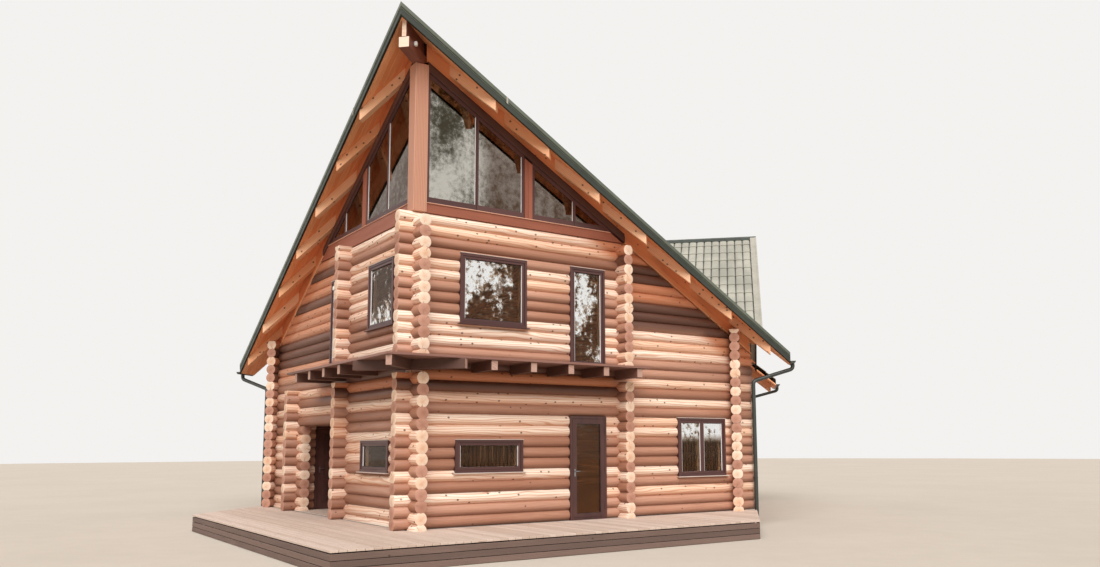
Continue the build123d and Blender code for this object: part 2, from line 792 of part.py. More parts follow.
with BuildPart() as rafters:
    near = ridge_board_width / 2
    top = rake_top + rafter_depth
    for place, reach in rafter_rows():
        for side in (1, -1):
            with BuildSketch(Plane.XZ.offset(-(place - rafter_width / 2)), mode=Mode.PRIVATE) as section:
                with BuildLine():
                    Polyline((side * near, roof_line(top, near)), (side * reach, roof_line(top, reach)),
                             (side * reach, roof_line(rake_top, reach)), (side * near, roof_line(rake_top, near)),
                             close=True)
                make_face()
            extrude(section.sketch, amount=-rafter_width)
    add(under_cross_roof(2 * eave_reach), mode=Mode.SUBTRACT)
save(rafters, "rafters")

cover_foot = ridge_height - cover_depth
main_cover = roof_layer(ridge_height, cover_foot)
main_boards = roof_layer(cover_foot, cover_foot - board_depth)
for side, keep in (("right", Keep.TOP), ("left", Keep.BOTTOM)):
    for layer, name in ((main_cover, "roof_cover"), (main_boards, "roof_boards")):
        with BuildPart() as half:
            add(layer)
            split(bisect_by=Plane.YZ, keep=keep)
        save(half, f"{side}_{name}")

cross_layers = (("cross_roof_cover", cross_ridge_height, cross_ridge_height - cover_depth),
                ("cross_roof_boards", cross_ridge_height - cover_depth, gable_top))
for name, upper, lower in cross_layers:
    with BuildPart() as layer:
        add(cross_prism(upper, lower, cross_verge_reach - verge_width))
        add(above_main_roof, mode=Mode.INTERSECT)
    save(layer, name)

# Sheet-metal boards along the verges of the main roof and the cross roofs
front_outline = [(0, front_tip), (eave_reach, eave_start), (eave_reach, eave_start + verge_width * sqrt(2)),
                 (0, front_tip + verge_width * sqrt(2)), (-eave_reach, eave_start + verge_width * sqrt(2)),
                 (-eave_reach, eave_start)]
back_outline = [(eave_reach, back_edge), (-eave_reach, back_edge), (-eave_reach, back_edge - verge_width),
                (eave_reach, back_edge - verge_width)]
with BuildPart() as verge_boards:
    for outline in (front_outline, back_outline):
        add(roof_band(ridge_height + verge_lip, ridge_height - verge_depth, outline))
    with BuildPart(mode=Mode.PRIVATE) as cross_boards:
        add(cross_prism(cross_ridge_height + verge_lip, cross_ridge_height - verge_depth, cross_verge_reach))
        Box(2 * (cross_verge_reach - verge_width), 4 * house_depth, 4 * ridge_height, mode=Mode.SUBTRACT)
        add(above_main_roof, mode=Mode.INTERSECT)
    add(cross_boards.part)
save(verge_boards, "verge_boards")

# Gutters under the eaves by the corners
eave_level = roof_line(cover_foot, eave_reach)
gutter_runs = ((eave_start + verge_width * sqrt(2), eave_end), (rear_eave_start, back_edge - verge_width))
with BuildPart() as gutters:
    for start, end in gutter_runs:
        with BuildSketch(Plane.XZ.offset(-start), mode=Mode.PRIVATE) as section:
            with Locations((eave_reach + gutter_radius, eave_level), (-eave_reach - gutter_radius, eave_level)):
                RegularPolygon(gutter_radius, pipe_faces)
                RegularPolygon(gutter_radius - gutter_wall, pipe_faces, mode=Mode.SUBTRACT)
                Rectangle(3 * gutter_radius, 2 * gutter_radius, align=(Align.CENTER, Align.MIN), mode=Mode.SUBTRACT)
        extrude(section.sketch, amount=-(end - start))
save(gutters, "gutters")

# Downpipes, each with a neck back to the wall and clips on the logs
pipe_out = log_radius + pipe_stand_off + downpipe_radius
pipe_runs = ((right_wing, wing_length + corner_run_on - 70, 600), (left_wing, wing_length + corner_run_on - 70, 600),
             (right_side, house_depth - 400, house_depth - 400), (left_side, house_depth - 400, house_depth - 400))
with BuildPart() as downpipes:
    for wall, along, outlet in pipe_runs:
        foot = wall.point(along, pipe_out)
        gutter_x = (eave_reach + gutter_radius) * (1 if foot.X > 0 else -1)
        outlet_top = eave_level - gutter_radius - seat_play
        with BuildLine(mode=Mode.PRIVATE) as path:
            Polyline((gutter_x, outlet, outlet_top), (gutter_x, outlet, outlet_top - neck_drop),
                     (foot.X, foot.Y, wall_base + neck_height), (foot.X, foot.Y, pipe_foot))
        with BuildSketch(Plane(origin=(gutter_x, outlet, outlet_top), z_dir=(0, 0, -1)), mode=Mode.PRIVATE) as ring:
            RegularPolygon(downpipe_radius, pipe_faces)
        sweep(ring.sketch, path=path.line, transition=Transition.RIGHT)
        for course in (3.5, 12.5):
            up = wall.first_joint + course * log_course
            wall.block((along - clip_size / 2, along + clip_size / 2),
                       (log_radius + seat_play, pipe_out - downpipe_radius / 2), (up - clip_size / 2, up + clip_size / 2))
save(downpipes, "downpipes")
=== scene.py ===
# %% [markdown]
# # A log house with a glazed prow
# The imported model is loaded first. It is the fixed frame that every piece below is built around, so all
# places are in metres in its frame: Z is up, the ridge runs along Y and the prow points to -Y.

import math
import random

import bmesh
import bpy
from mathutils import Matrix, Vector


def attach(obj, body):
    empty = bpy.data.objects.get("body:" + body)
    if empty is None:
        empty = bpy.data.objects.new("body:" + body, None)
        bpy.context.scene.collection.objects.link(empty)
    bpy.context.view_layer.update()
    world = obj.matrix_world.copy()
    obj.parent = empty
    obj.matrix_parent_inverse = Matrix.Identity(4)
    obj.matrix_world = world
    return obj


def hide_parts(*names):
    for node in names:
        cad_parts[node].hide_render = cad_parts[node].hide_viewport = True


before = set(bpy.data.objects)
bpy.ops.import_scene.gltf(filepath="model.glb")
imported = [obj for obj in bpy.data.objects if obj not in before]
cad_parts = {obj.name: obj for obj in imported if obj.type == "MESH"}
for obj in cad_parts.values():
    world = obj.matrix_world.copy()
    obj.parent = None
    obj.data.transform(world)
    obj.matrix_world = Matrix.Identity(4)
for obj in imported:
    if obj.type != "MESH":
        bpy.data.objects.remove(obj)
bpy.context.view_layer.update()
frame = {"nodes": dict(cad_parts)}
nodes = frame["nodes"]

# %% [markdown]
# ## Sizes that many pieces share
# A house like this is set out by its log courses. Every wall has a start, a heading along its axis, a side
# that is outside, and the height of its lowest joint: the logs of walls that cross lie half a course apart.

# %% Levels and walls
COURSE = 0.225
LOG_RADIUS = 0.13
BASE = 0.4
WING_RUN = 6.25
WING_LENGTH = WING_RUN * math.sqrt(2)
DEPTH = 10.5
MIDDLE = DEPTH / 2
RUN_ON = 0.42
CORNER_RUN_ON = 0.5
NICHE_NEAR = 3.4
NICHE_FAR = 6.84
NICHE_DEPTH = 1.9
RIGHT_CROSS_WALL = 5.1
SIDE_TONES = "BBNBNNBBBNNBNBNBBNBNNBBNBNBNNBNBBNNBNBNBBNBN"
RIGHT_TONES = "BBNBNBBBNNBNBNBBNNNBBBNNBBNN"
LEFT_TONES = "NNBBNBNNNBBNBNBNNBBBNNNBNNBN"
RIDGE = 10.25
EAVE = 3.94
EAVE_REACH = 7.65
SLOPE = (RIDGE - EAVE) / EAVE_REACH
STRETCH = math.sqrt(1 + SLOPE ** 2)
COVER = 0.2
BOARD = 0.04
RAFTER = 0.26
RAKE = 0.37
RAKE_TOP = RIDGE - COVER - BOARD - RAFTER
RAKE_FOOT = RAKE_TOP - RAKE
BEAM_TOP = RIDGE - 0.62
BEAM_WIDTH = 0.22
BALCONY_FOOT = 3.29
OVERHANG = 1.1
FRONT_TIP = -WING_RUN - OVERHANG
BACK_EDGE = DEPTH + OVERHANG
EAVE_START = FRONT_TIP + EAVE_REACH
EAVE_END = EAVE_START + 0.8
CROSS_REACH = 7.0
CROSS_FOOT_REACH = 6.7
CROSS_RIDGE = RIDGE - SLOPE * (CROSS_FOOT_REACH - (MIDDLE - EAVE_END))
JOIN = (RIDGE - CROSS_RIDGE) / SLOPE
BOTH = (1, -1)
SIDES = ((1, "right"), (-1, "left"))
SLIGHT = 1e-5
ASIDE, REARWARD, UP = Vector((1, 0, 0)), Vector((0, 1, 0)), Vector((0, 0, 1))


def unit(x, y, z=0):
    return Vector((x, y, z)).normalized()


def placed(centre, *axes):
    """The matrix that turns X, Y and Z to three directions and moves the origin to a centre."""
    return Matrix.Translation(centre) @ Matrix(axes).transposed().to_4x4()


def add_object(name, data):
    thing = bpy.data.objects.new(name, data)
    bpy.context.scene.collection.objects.link(thing)
    return thing


def level_at(x, y, level):
    """A place at a height above the foundation."""
    return Vector((x, y, BASE + level))


class Wall:
    """A straight wall: its axis' start and heading, its outside (1 left, -1 right) and its lowest joint."""

    def __init__(self, start, heading, outside, first_joint=0, tones="N"):
        self.start = Vector((*start, BASE))
        self.heading = unit(*heading)
        self.left = UP.cross(self.heading)
        self.out = self.left * outside
        self.first_joint = first_joint
        self.tones = tones

    def spot(self, along, out=0.0, up=0.0):
        return self.start + self.heading * along + self.out * out + Vector((0, 0, up))


right_wing = Wall((0, -WING_RUN), (1, 1), -1, 0, RIGHT_TONES)
left_wing = Wall((0, -WING_RUN), (-1, 1), 1, -COURSE / 2, LEFT_TONES)
right_side = Wall((WING_RUN, 0), (0, 1), -1, -COURSE / 2, LEFT_TONES)
left_side = Wall((-WING_RUN, 0), (0, 1), 1, 0, SIDE_TONES)
back = Wall((-WING_RUN, DEPTH), (1, 0), 1, 0, SIDE_TONES)


def across(wing, along, heading, outside, first_joint, tones, out=0.0):
    """A wall whose axis starts at a place on a wing."""
    return Wall(wing.spot(along, out).xy, heading, outside, first_joint, tones)


niche_near = across(left_wing, NICHE_NEAR, (1, 1), 1, 0, RIGHT_TONES)
niche_door_side = across(left_wing, NICHE_FAR, (1, 1), -1, 0, RIGHT_TONES)
niche_back = across(left_wing, NICHE_NEAR, (-1, 1), 1, -COURSE / 2, LEFT_TONES, out=-NICHE_DEPTH)
print("the wings are", round(WING_LENGTH, 3), "m long")
print("the roof slopes", round(math.degrees(math.atan(SLOPE)), 1), "degrees")

# %% [markdown]
# ## Shader expressions
# A finish is a small tree of nodes. Writing it as arithmetic keeps it readable, so one class stands for a
# value in a tree and adds a Math node for each operation, and others hold the tree and the material itself.


# %% Signal and finish
class Signal:
    """A value in a node tree; its node's other outputs are reached by name or number."""

    def __init__(self, nodes, socket):
        self.nodes = nodes
        self.socket = socket

    def __getitem__(self, key):
        return Signal(self.nodes, self.socket.node.outputs[key])

    def __add__(self, other):
        return self.nodes.math("ADD", self, other)

    def __sub__(self, other):
        return self.nodes.math("SUBTRACT", self, other)

    def __rsub__(self, other):
        return self.nodes.math("SUBTRACT", other, self)

    def __mul__(self, other):
        return self.nodes.math("MULTIPLY", self, other)

    __radd__ = __add__
    __rmul__ = __mul__


def on_screen(red, green, blue):
    """A colour as seen on screen, 0 to 255, turned into the linear values that shaders take."""
    parts = [((c / 255 + 0.055) / 1.055) ** 2.4 if c > 10 else c / 3295 for c in (red, green, blue)]
    return (*parts, 1.0)


class Nodes:
    """A node tree with short ways to add to it."""

    def __init__(self, tree):
        self.tree = tree

    def node(self, kind, settings=None, sockets=None, out=0):
        node = self.tree.nodes.new(kind)
        for key, value in (settings or {}).items():
            setattr(node, key, value)
        for key, value in (sockets or {}).items():
            self.feed(node.inputs[key], value)
        return Signal(self, node.outputs[out])

    def feed(self, socket, value):
        """Links a signal or sets a value; a colour of three numbers is one as seen on screen."""
        if isinstance(value, Signal):
            self.tree.links.new(value.socket, socket)
        elif socket.type == "RGBA" and len(value) == 3:
            socket.default_value = on_screen(*value)
        else:
            socket.default_value = value

    def math(self, operation, first, second=0.0):
        return self.node("ShaderNodeMath", {"operation": operation}, {0: first, 1: second})

    def larger(self, first, second):
        return self.math("MAXIMUM", first, second)

    def mix(self, factor, first, second):
        return self.node("ShaderNodeMix", {"data_type": "RGBA"}, {0: factor, 6: first, 7: second}, out=2)


class Finish(Nodes):
    """A material in the making, with the surface's own coordinates."""

    def __init__(self, name, **shader_values):
        self.material = bpy.data.materials.new(name)
        self.material.use_nodes = True
        super().__init__(self.material.node_tree)
        self.shader = self.tree.nodes["Principled BSDF"]
        for socket, value in shader_values.items():
            self.shader.inputs[socket.replace("_", " ").title().replace("Ior", "IOR")].default_value = value

    def grain(self):
        return self.node("ShaderNodeUVMap", {"uv_map": "grain"})

    def tone(self):
        return self.node("ShaderNodeAttribute", {"attribute_name": "tone"}, out="Fac")

    def place(self):
        return self.node("ShaderNodeTexCoord", out="Object")

    def stretched(self, place, scale):
        return self.node("ShaderNodeMapping", None, {"Vector": place, "Scale": scale})

    def parts(self, vector):
        split = self.node("ShaderNodeSeparateXYZ", None, {0: vector})
        return split[0], split[1], split[2]

    def vector(self, x, y, z=0.0):
        return self.node("ShaderNodeCombineXYZ", None, {0: x, 1: y, 2: z})

    def ease(self, value, low, high):
        """0 below low, 1 above high, and smooth between."""
        return self.node("ShaderNodeMapRange", {"interpolation_type": "SMOOTHSTEP"},
                         {"Value": value, "From Min": low, "From Max": high})

    def noise(self, place, scale=1.0, detail=2.0, roughness=0.5):
        return self.node("ShaderNodeTexNoise", None,
                         {"Vector": place, "Scale": scale, "Detail": detail, "Roughness": roughness})

    def bump(self, height, strength, distance=0.002):
        sockets = {"Height": height, "Strength": strength, "Distance": distance}
        self.feed(self.shader.inputs["Normal"], self.node("ShaderNodeBump", None, sockets))

    def paint(self, **signals):
        for socket, value in signals.items():
            self.feed(self.shader.inputs[socket.replace("_", " ").title()], value)
        return self.material


print("a screen value of 128 is", round(on_screen(128, 128, 128)[0], 3), "in a shader")

# %% [markdown]
# ## Camera, light and floor
# The house was looked at from a low place in front of the prow and to its right, with the camera tilted up
# a little. The light is a soft overcast sky with a broad lamp high in front, so colours read as they are
# written. The floor and backdrop are pale and plain.

# %% Camera
CAMERA_PLACE = Vector((6.286, -23.205, 1.997))
YAW = math.radians(-10.09)
TILT = math.radians(7.02)
ROLL = math.radians(0.25)
FOCAL_PIXELS = 900.7
FRAME_WIDTH, FRAME_HEIGHT = 1100, 567
AIM_COLUMN, AIM_ROW = 576.5, 335.1

forward = Vector((math.sin(YAW) * math.cos(TILT), math.cos(YAW) * math.cos(TILT), math.sin(TILT)))
level_right = Vector((math.cos(YAW), -math.sin(YAW), 0))
level_down = forward.cross(level_right)
right = math.cos(ROLL) * level_right + math.sin(ROLL) * level_down
down = -math.sin(ROLL) * level_right + math.cos(ROLL) * level_down
camera_data = bpy.data.cameras.new("camera")
camera_data.sensor_width = 36
camera_data.lens = FOCAL_PIXELS * camera_data.sensor_width / FRAME_WIDTH
camera_data.shift_x = (FRAME_WIDTH / 2 - AIM_COLUMN) / FRAME_WIDTH
camera_data.shift_y = (AIM_ROW - FRAME_HEIGHT / 2) / FRAME_WIDTH
camera_data.clip_end = 400
camera = add_object("camera", camera_data)
camera.matrix_world = placed(CAMERA_PLACE, right, -down, -forward)
bpy.context.scene.camera = camera
bpy.context.scene.view_settings.view_transform = "Standard"
print("the lens is", round(camera_data.lens, 2), "mm")


# %% Lamps and sky
def lamp(name, strength, direction):
    data = bpy.data.lights.new(name, "SUN")
    data.energy = strength
    data.angle = math.radians(60)
    add_object(name, data).rotation_euler = Vector(direction).to_track_quat("-Z", "Y").to_euler()


lamp("high_front_light", 3.65, (-0.18, 0.66, -0.73))
lamp("side_fill", 0.35, (0.9, 0.35, -0.3))
DIM_SKY, SEEN_SKY = 0.28, 0.9
WARM, PLAIN = (1.0, 0.84, 0.7, 1), (1.0, 0.985, 0.965, 1)
world = bpy.data.worlds.new("sky")
bpy.context.scene.world = world
world.use_nodes = True
sky = Nodes(world.node_tree)
background = sky.tree.nodes["Background"]
path = sky.node("ShaderNodeLightPath")
seen = sky.larger(path["Is Camera Ray"], path["Is Transmission Ray"])
mirrored = sky.larger(seen, path["Is Glossy Ray"])
level = sky.node("ShaderNodeMapRange", None, {"Value": mirrored, "To Min": DIM_SKY, "To Max": SEEN_SKY})
sky.feed(background.inputs["Strength"], level)
sky.feed(background.inputs["Color"], sky.mix(mirrored, WARM, PLAIN))
print("the sky lights with", DIM_SKY, "and is seen with", SEEN_SKY)

# %% [markdown]
# ## Wood
# Milled pine shows growth rings as long arches, fine streaks and small dark knots. Each log and board
# carries a UV map in metres, along and across its grain, and a tone of its own, so no two look alike. The
# stained logs have the same grain under a brown coat, which hides most of it.


# %% Finish for round logs, boards and end grain
FULL_TURN = 6.283
END_RING_RATE = 520.0


def knots_signal(finish, along, across, tone, share, radius):
    """1 in a few small round knots, else 0."""
    place = finish.vector(along * 4.2 + tone * 400.0, across * 5.2 + tone * 90.0)
    cells = finish.node("ShaderNodeTexVoronoi", {"voronoi_dimensions": "2D"}, {"Vector": place, "Scale": 1.0})
    chosen = finish.ease(finish.parts(cells["Color"])[0], 1.0 - share, 1.0 - share + 0.02)
    return chosen * (1 - finish.ease(cells, radius * 0.6, radius))


def shelter_signal(finish):
    """1 where painted shade darkens the walls under the eaves and the balcony, else 0.

    It falls with the distance below the roof, and on the wings it also rises towards their far ends.
    """
    ease = finish.ease
    x, depth, height = finish.parts(finish.place())
    aside = finish.math("ABSOLUTE", x)
    from_middle = finish.math("ABSOLUTE", depth - MIDDLE)
    roof = finish.larger((BASE + RIDGE) - aside * SLOPE, (BASE + CROSS_RIDGE) - from_middle * SLOPE)
    below_roof = roof - height
    # painted shade under the eaves: full close below the roof, a quarter of it further down
    eaves_shade = 1 - ease(below_roof, 1.25, 1.7) * 0.75 - ease(below_roof, 1.6, 3.6) * 0.25
    in_front = 1 - ease(depth, -0.2, 0.3)
    along_wing = (aside + depth + WING_RUN) * math.sqrt(0.5)
    on_right = ease(x, -0.1, 0.1)
    # painted shade high on the right wing past its cross wall, and on the left wing's far part
    past_right = ease(along_wing, 5.24, 5.3) * ease(height, 4.55, 4.85) * on_right
    past_left = ease(along_wing, 3.54, 3.6) * ease(height, 3.3, 3.9) * (1 - on_right) * 0.85
    far_left = ease(along_wing, 1.0, 3.2) * (1 - on_right) * 0.25
    eaves = finish.larger(eaves_shade, finish.larger(past_right + past_left, far_left) * in_front)
    # painted shade under the balcony, on the wings only
    below_balcony = (BASE + BALCONY_FOOT) - height
    balcony = ease(below_balcony, -0.02, 0.02) * (1 - ease(below_balcony, 0.4, 0.85)) * in_front
    return finish.larger(eaves, balcony * (1 - ease(aside, 3.3, 4.4)))


def wood(name, pale, deep, line, knot, rings_per_metre=16.0, warp=5.0, knot_share=0.25, ring_show=0.35,
         gloss=0.5, painted_shade_colour=None, knot_size=0.11):
    """Wood along the grain: pale and deep are its two ends of tone, line its late rings and knot its knots.

    The shade colour is painted shade: it is mixed in on faces that point down, and under the eaves and the
    balcony.
    """
    finish = Finish(name)
    ease, mix, noise = finish.ease, finish.mix, finish.noise
    along, across, _ = finish.parts(finish.grain())
    tone = finish.tone()
    drift = noise(finish.vector(along * 0.55, across * 3.0, tone * 31.0))
    rings = finish.math("SINE", (across * rings_per_metre + drift * warp) * FULL_TURN)
    streaks = noise(finish.vector(along * 1.6, across * 120.0, tone * 17.0), 1.0, 3.0, 0.6)
    patches = noise(finish.vector(along * 0.9, across * 7.0, tone * 11.0), 1.0, 3.0, 0.55)
    colour = mix(ease(patches * 0.5 + tone * 0.5, 0.25, 0.75), pale, deep)
    colour = mix(ease(rings, 0.2, 1.0) * ring_show, colour, line)
    colour = mix(ease(streaks, 0.5, 0.75) * 0.35, colour, line)
    # painted shade: half strength on faces that point down, most of it where the eaves and the balcony shade
    # the wood
    if painted_shade_colour:
        facing = finish.parts(finish.node("ShaderNodeNewGeometry", out="Normal"))[2]
        below = 0.5 - ease(facing, -0.9, 0.1) * 0.5
        colour = mix(finish.larger(below, shelter_signal(finish) * 0.9), colour, painted_shade_colour)
    if knot_share:
        knots = knots_signal(finish, along, across, tone, knot_share, knot_size)
        colour = mix(knots * 0.85, colour, knot)
    finish.bump(streaks * 0.6 + rings * 0.2, 0.25)
    return finish.paint(base_color=colour, roughness=ease(patches, 0.2, 0.8) * 0.15 + gloss)


def end_grain(name, pale, deep, line, crack_show):
    """Sawn log ends: rings round the pith, and a few drying cracks that run out from it."""
    finish = Finish(name)
    ease, mix, noise = finish.ease, finish.mix, finish.noise
    uv = finish.grain()
    tone = finish.tone()
    from_pith, y, _ = finish.parts(uv)
    x = from_pith + tone * 0.03 - 0.015
    radius = finish.math("SQRT", x * x + y * y) + noise(uv, 9.0) * 0.02
    rings = finish.math("SINE", radius * END_RING_RATE)
    turn = finish.math("ARCTAN2", y, x)
    spokes = noise(finish.vector(turn * 1.9, radius * 3.0, tone * 23.0), 1.0, 1.0)
    cracks = ease(spokes, 0.66, 0.72) * ease(radius, 0.02, 0.05) * crack_show
    heart = 1 - ease(radius, 0.01, 0.115)
    depth = ease(noise(uv, 14.0, 3.0) + tone * 0.6, 0.5, 1.1) * 0.5 + heart * 0.5
    colour = mix(ease(rings, 0.0, 1.0) * 0.4, mix(depth, pale, deep), line)
    colour = mix(cracks, colour, line)
    finish.bump(rings * 0.3 - cracks, 0.3)
    return finish.paint(base_color=colour, roughness=0.75)


# the last colour of each log finish is its painted shade
pine = wood("pine_log", (254, 235, 216), (244, 206, 178), (200, 128, 84), (84, 44, 30),
            ring_show=0.6, knot_share=0.32, knot_size=0.13, painted_shade_colour=(186, 108, 64))
brown = wood("brown_stained_log", (196, 147, 123), (168, 117, 92), (128, 80, 58), (92, 56, 44),
             ring_show=0.15, knot_share=0.08, gloss=0.42, painted_shade_colour=(74, 39, 26))
pine_end = end_grain("pine_end_grain", (252, 230, 208), (226, 178, 142), (190, 132, 94), 0.8)
brown_end = end_grain("brown_painted_end", (206, 156, 134), (172, 120, 98), (130, 84, 66), 0.35)
LOG_FINISHES = [pine, pine_end, brown, brown_end]
print("log finishes:", [m.name for m in LOG_FINISHES])

# %% [markdown]
# ## Pieces
# Each piece starts as an empty bmesh. Shapes are made one at a time by operators, get their grain, and are
# taken into the piece, which at the end becomes one object that rides on the house or on a door.


# %% Shapes
draws = random.Random(7)


def start_shape():
    shape = bmesh.new()
    shape.loops.layers.uv.new("grain")
    shape.verts.layers.float.new("tone")
    return shape


def cylinder(radius, length, sides, closed=True):
    shape = start_shape()
    bmesh.ops.create_cone(shape, cap_ends=closed, segments=sides, radius1=radius, radius2=radius,
                          depth=length)
    return shape


def put(shape, centre, *axes):
    """Turns a shape's own X, Y and Z to three directions and moves it to its place."""
    bmesh.ops.transform(shape, matrix=placed(centre, *axes), verts=shape.verts)
    return shape


def random_shift():
    return Vector((draws.uniform(0, 50), draws.uniform(0, 50)))


def give_tone(shape, tone=None):
    layer = shape.verts.layers.float["tone"]
    value = draws.random() if tone is None else tone
    for vert in shape.verts:
        vert[layer] = value


def finish_ends(shape, way):
    """Gives the faces across a direction their piece's second finish."""
    for face in shape.faces:
        if abs(face.normal.dot(way)) > 0.9:
            face.material_index = 1
    return shape


def map_grain(shape, long_way, high_way):
    """A UV map in metres with U along the grain, shifted at random so that pieces differ."""
    layer = shape.loops.layers.uv["grain"]
    wide_way = high_way.cross(long_way)
    shift = random_shift()
    for face in shape.faces:
        at_end = abs(face.normal.dot(long_way)) > 0.8
        upright = abs(face.normal.dot(wide_way)) > abs(face.normal.dot(high_way))
        across_way = high_way if at_end or upright else wide_way
        for loop in face.loops:
            co = loop.vert.co
            u = co.dot(wide_way) * 0.1 if at_end else co.dot(long_way)
            loop[layer].uv = Vector((u, co.dot(across_way))) + shift


def trim(shape, limits, closed=True):
    """Cuts away what lies beyond each plane, given by a point and its normal, and closes the cuts."""
    for point, normal in limits:
        if not shape.verts:
            break
        if closed and all((vert.co - point).dot(normal) < SLIGHT for vert in shape.verts):
            continue
        whole = shape.verts[:] + shape.edges[:] + shape.faces[:]
        cut = bmesh.ops.bisect_plane(shape, geom=whole, plane_co=point, plane_no=normal, clear_outer=True)
        rim = [e for e in cut["geom_cut"] if isinstance(e, bmesh.types.BMEdge) and e.is_boundary]
        if closed and rim:
            bmesh.ops.edgeloop_fill(shape, edges=rim)


def block(centre, long_way, high_way, size, ease=0.003, finish=0, tone=None):
    """A board or beam: size is its length, width and height, and ease the rounding of its edges."""
    shape = start_shape()
    bmesh.ops.create_cube(shape, size=1)
    bmesh.ops.scale(shape, vec=Vector(size), verts=shape.verts)
    if ease:
        bmesh.ops.bevel(shape, geom=shape.edges[:], offset=min(ease, min(size) / 3), segments=1, profile=0.5,
                        affect="EDGES", material=-1)
    put(shape, centre, long_way, high_way.cross(long_way), high_way)
    shape.normal_update()
    map_grain(shape, long_way, high_way)
    give_tone(shape, tone)
    for face in shape.faces:
        face.material_index = finish
    return shape


def wall_block(wall, along, out, up, upright=False, ease=0.003, finish=0):
    """A block given by its ranges along a wall, outward from its axis and up from its foot."""
    centre = wall.spot(sum(along) / 2, sum(out) / 2, sum(up) / 2)
    length, thick, height = [high - low for low, high in (along, out, up)]
    if upright:
        return block(centre, UP, wall.heading, (height, thick, length), ease, finish)
    return block(centre, wall.heading, UP, (length, thick, height), ease, finish)


print("shapes can be blocks and cylinders, cut off at planes")


# %% A piece
CREASE = 0.5


class Piece:
    """An object in the making."""

    def __init__(self, name, finishes):
        self.name = name
        self.finishes = finishes
        self.bm = start_shape()
        self.carrier = bpy.data.meshes.new(name + "_shape")

    def take(self, shape, limits=()):
        """Adds a shape once what lies beyond the limits is cut away."""
        trim(shape, limits)
        if shape.verts:
            shape.to_mesh(self.carrier)
            self.bm.from_mesh(self.carrier)
        shape.free()

    def bar(self, *block_values, limits=()):
        self.take(wall_block(*block_values), limits)

    def done(self, replaces=(), body="house"):
        for face in self.bm.faces:
            face.smooth = True
        for edge in self.bm.edges:
            edge.smooth = len(edge.link_faces) == 2 and edge.calc_face_angle(0) < CREASE
        mesh = bpy.data.meshes.new(self.name)
        self.bm.to_mesh(mesh)
        self.bm.free()
        for finish in self.finishes:
            mesh.materials.append(finish)
        piece = add_object(self.name, mesh)
        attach(piece, body)
        if replaces:
            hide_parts(*replaces)
        print(self.name, "has", sum(len(p.vertices) - 2 for p in mesh.polygons), "triangles")


# %% [markdown]
# ## Round logs
# A milled log is a cylinder whose sawn ends have a small chamfer. Windows and doors are cut out of the
# stack: a log that an opening crosses ends on each side of it, and one that an opening only bites into
# keeps a planed strip above or below it.


# %% One log
LOG_SIDES = 30


def log_shape(wall, along, height, number, chamfers, planes):
    start, end = along
    half = (end - start) / 2
    shape = cylinder(LOG_RADIUS, end - start, LOG_SIDES)
    for end_z, chamfer in zip((-half, half), chamfers):
        rim = [e for e in shape.edges if all(abs(v.co.z - end_z) < SLIGHT for v in e.verts)]
        if chamfer:
            bmesh.ops.bevel(shape, geom=rim, offset=chamfer, segments=2, profile=0.5, affect="EDGES",
                            material=-1)
    centre = wall.spot((start + end) / 2, 0, height)
    put(shape, centre, wall.left, UP, wall.heading)
    trim(shape, planes)
    shape.normal_update()
    stained = wall.tones[number % len(wall.tones)] == "B"
    layer = shape.loops.layers.uv["grain"]
    shift = random_shift()
    for face in shape.faces:
        sawn = abs(face.normal.dot(wall.heading)) > 0.9
        face.material_index = 2 * stained + sawn
        places = [loop.vert.co - centre for loop in face.loops]
        turns = [math.atan2(place.dot(UP), place.dot(wall.out)) for place in places]
        wraps = max(turns) - min(turns) > math.pi
        for loop, place, turn in zip(face.loops, places, turns):
            if sawn:
                loop[layer].uv = (place.dot(wall.left), place.dot(UP))
            else:
                turn += 2 * math.pi * (wraps and turn < 0)
                loop[layer].uv = Vector((place.dot(wall.heading), turn * LOG_RADIUS)) + shift
    give_tone(shape)
    return shape


# %% A stack of logs
STRIP = 0.012
DISC_CHAMFER = 0.012
MOST_COURSES = 70


def free_runs(along, blocked):
    """What is left of a range once blocked ranges are taken out."""
    runs = []
    start = along[0]
    for low, high in sorted(blocked):
        if high <= along[0] or low >= along[1]:
            continue
        if low > start + 0.001:
            runs.append((start, low))
        start = max(start, high)
    if along[1] > start + 0.001:
        runs.append((start, along[1]))
    return runs


def stack(piece, wall, along, up, holes=(), planes=()):
    """Logs over a length and a height of a wall, cut at its openings and at the planes that end it."""
    low, high = up
    for number in range(MOST_COURSES):
        foot = wall.first_joint + number * COURSE
        top, centre = foot + COURSE, foot + COURSE / 2
        if top <= low + STRIP or foot >= high - STRIP:
            continue
        limits = list(planes)
        if centre - LOG_RADIUS < low:
            limits.append((wall.spot(0, 0, low), -UP))
        if centre + LOG_RADIUS > high:
            limits.append((wall.spot(0, 0, high), UP))
        blocked, strips = [], []
        for hole, (sill, head) in holes:
            if sill < top - STRIP and head > foot + STRIP:
                blocked.append(hole)
                if sill > foot + STRIP:
                    strips.append((hole, (wall.spot(0, 0, sill), UP)))
                if head < top - STRIP:
                    strips.append((hole, (wall.spot(0, 0, head), -UP)))
        stripped = {edge for hole, _ in strips for edge in hole}
        for run in free_runs(along, blocked):
            chamfers = [0 if edge in stripped else DISC_CHAMFER for edge in run]
            piece.take(log_shape(wall, run, centre, number, chamfers, limits))
        for hole, plane in strips:
            run = (max(hole[0], along[0]), min(hole[1], along[1]))
            if run[1] > run[0]:
                piece.take(log_shape(wall, run, centre, number, (0, 0), limits + [plane]))


def log_walls(node, *stacks, ending="_logs"):
    """A piece in a node's place: each stack is a wall, its run and its heights, then holes and planes."""
    piece = Piece(node + ending, LOG_FINISHES)
    for values in stacks:
        stack(piece, *values)
    piece.done([node])


# %% [markdown]
# ## Walls
# The stacks follow the walls of the model. The rake, the board under the rafters, follows the roof, so the
# logs stop at its lower edge, and the gables of the side walls stop under the cross roof's boards.

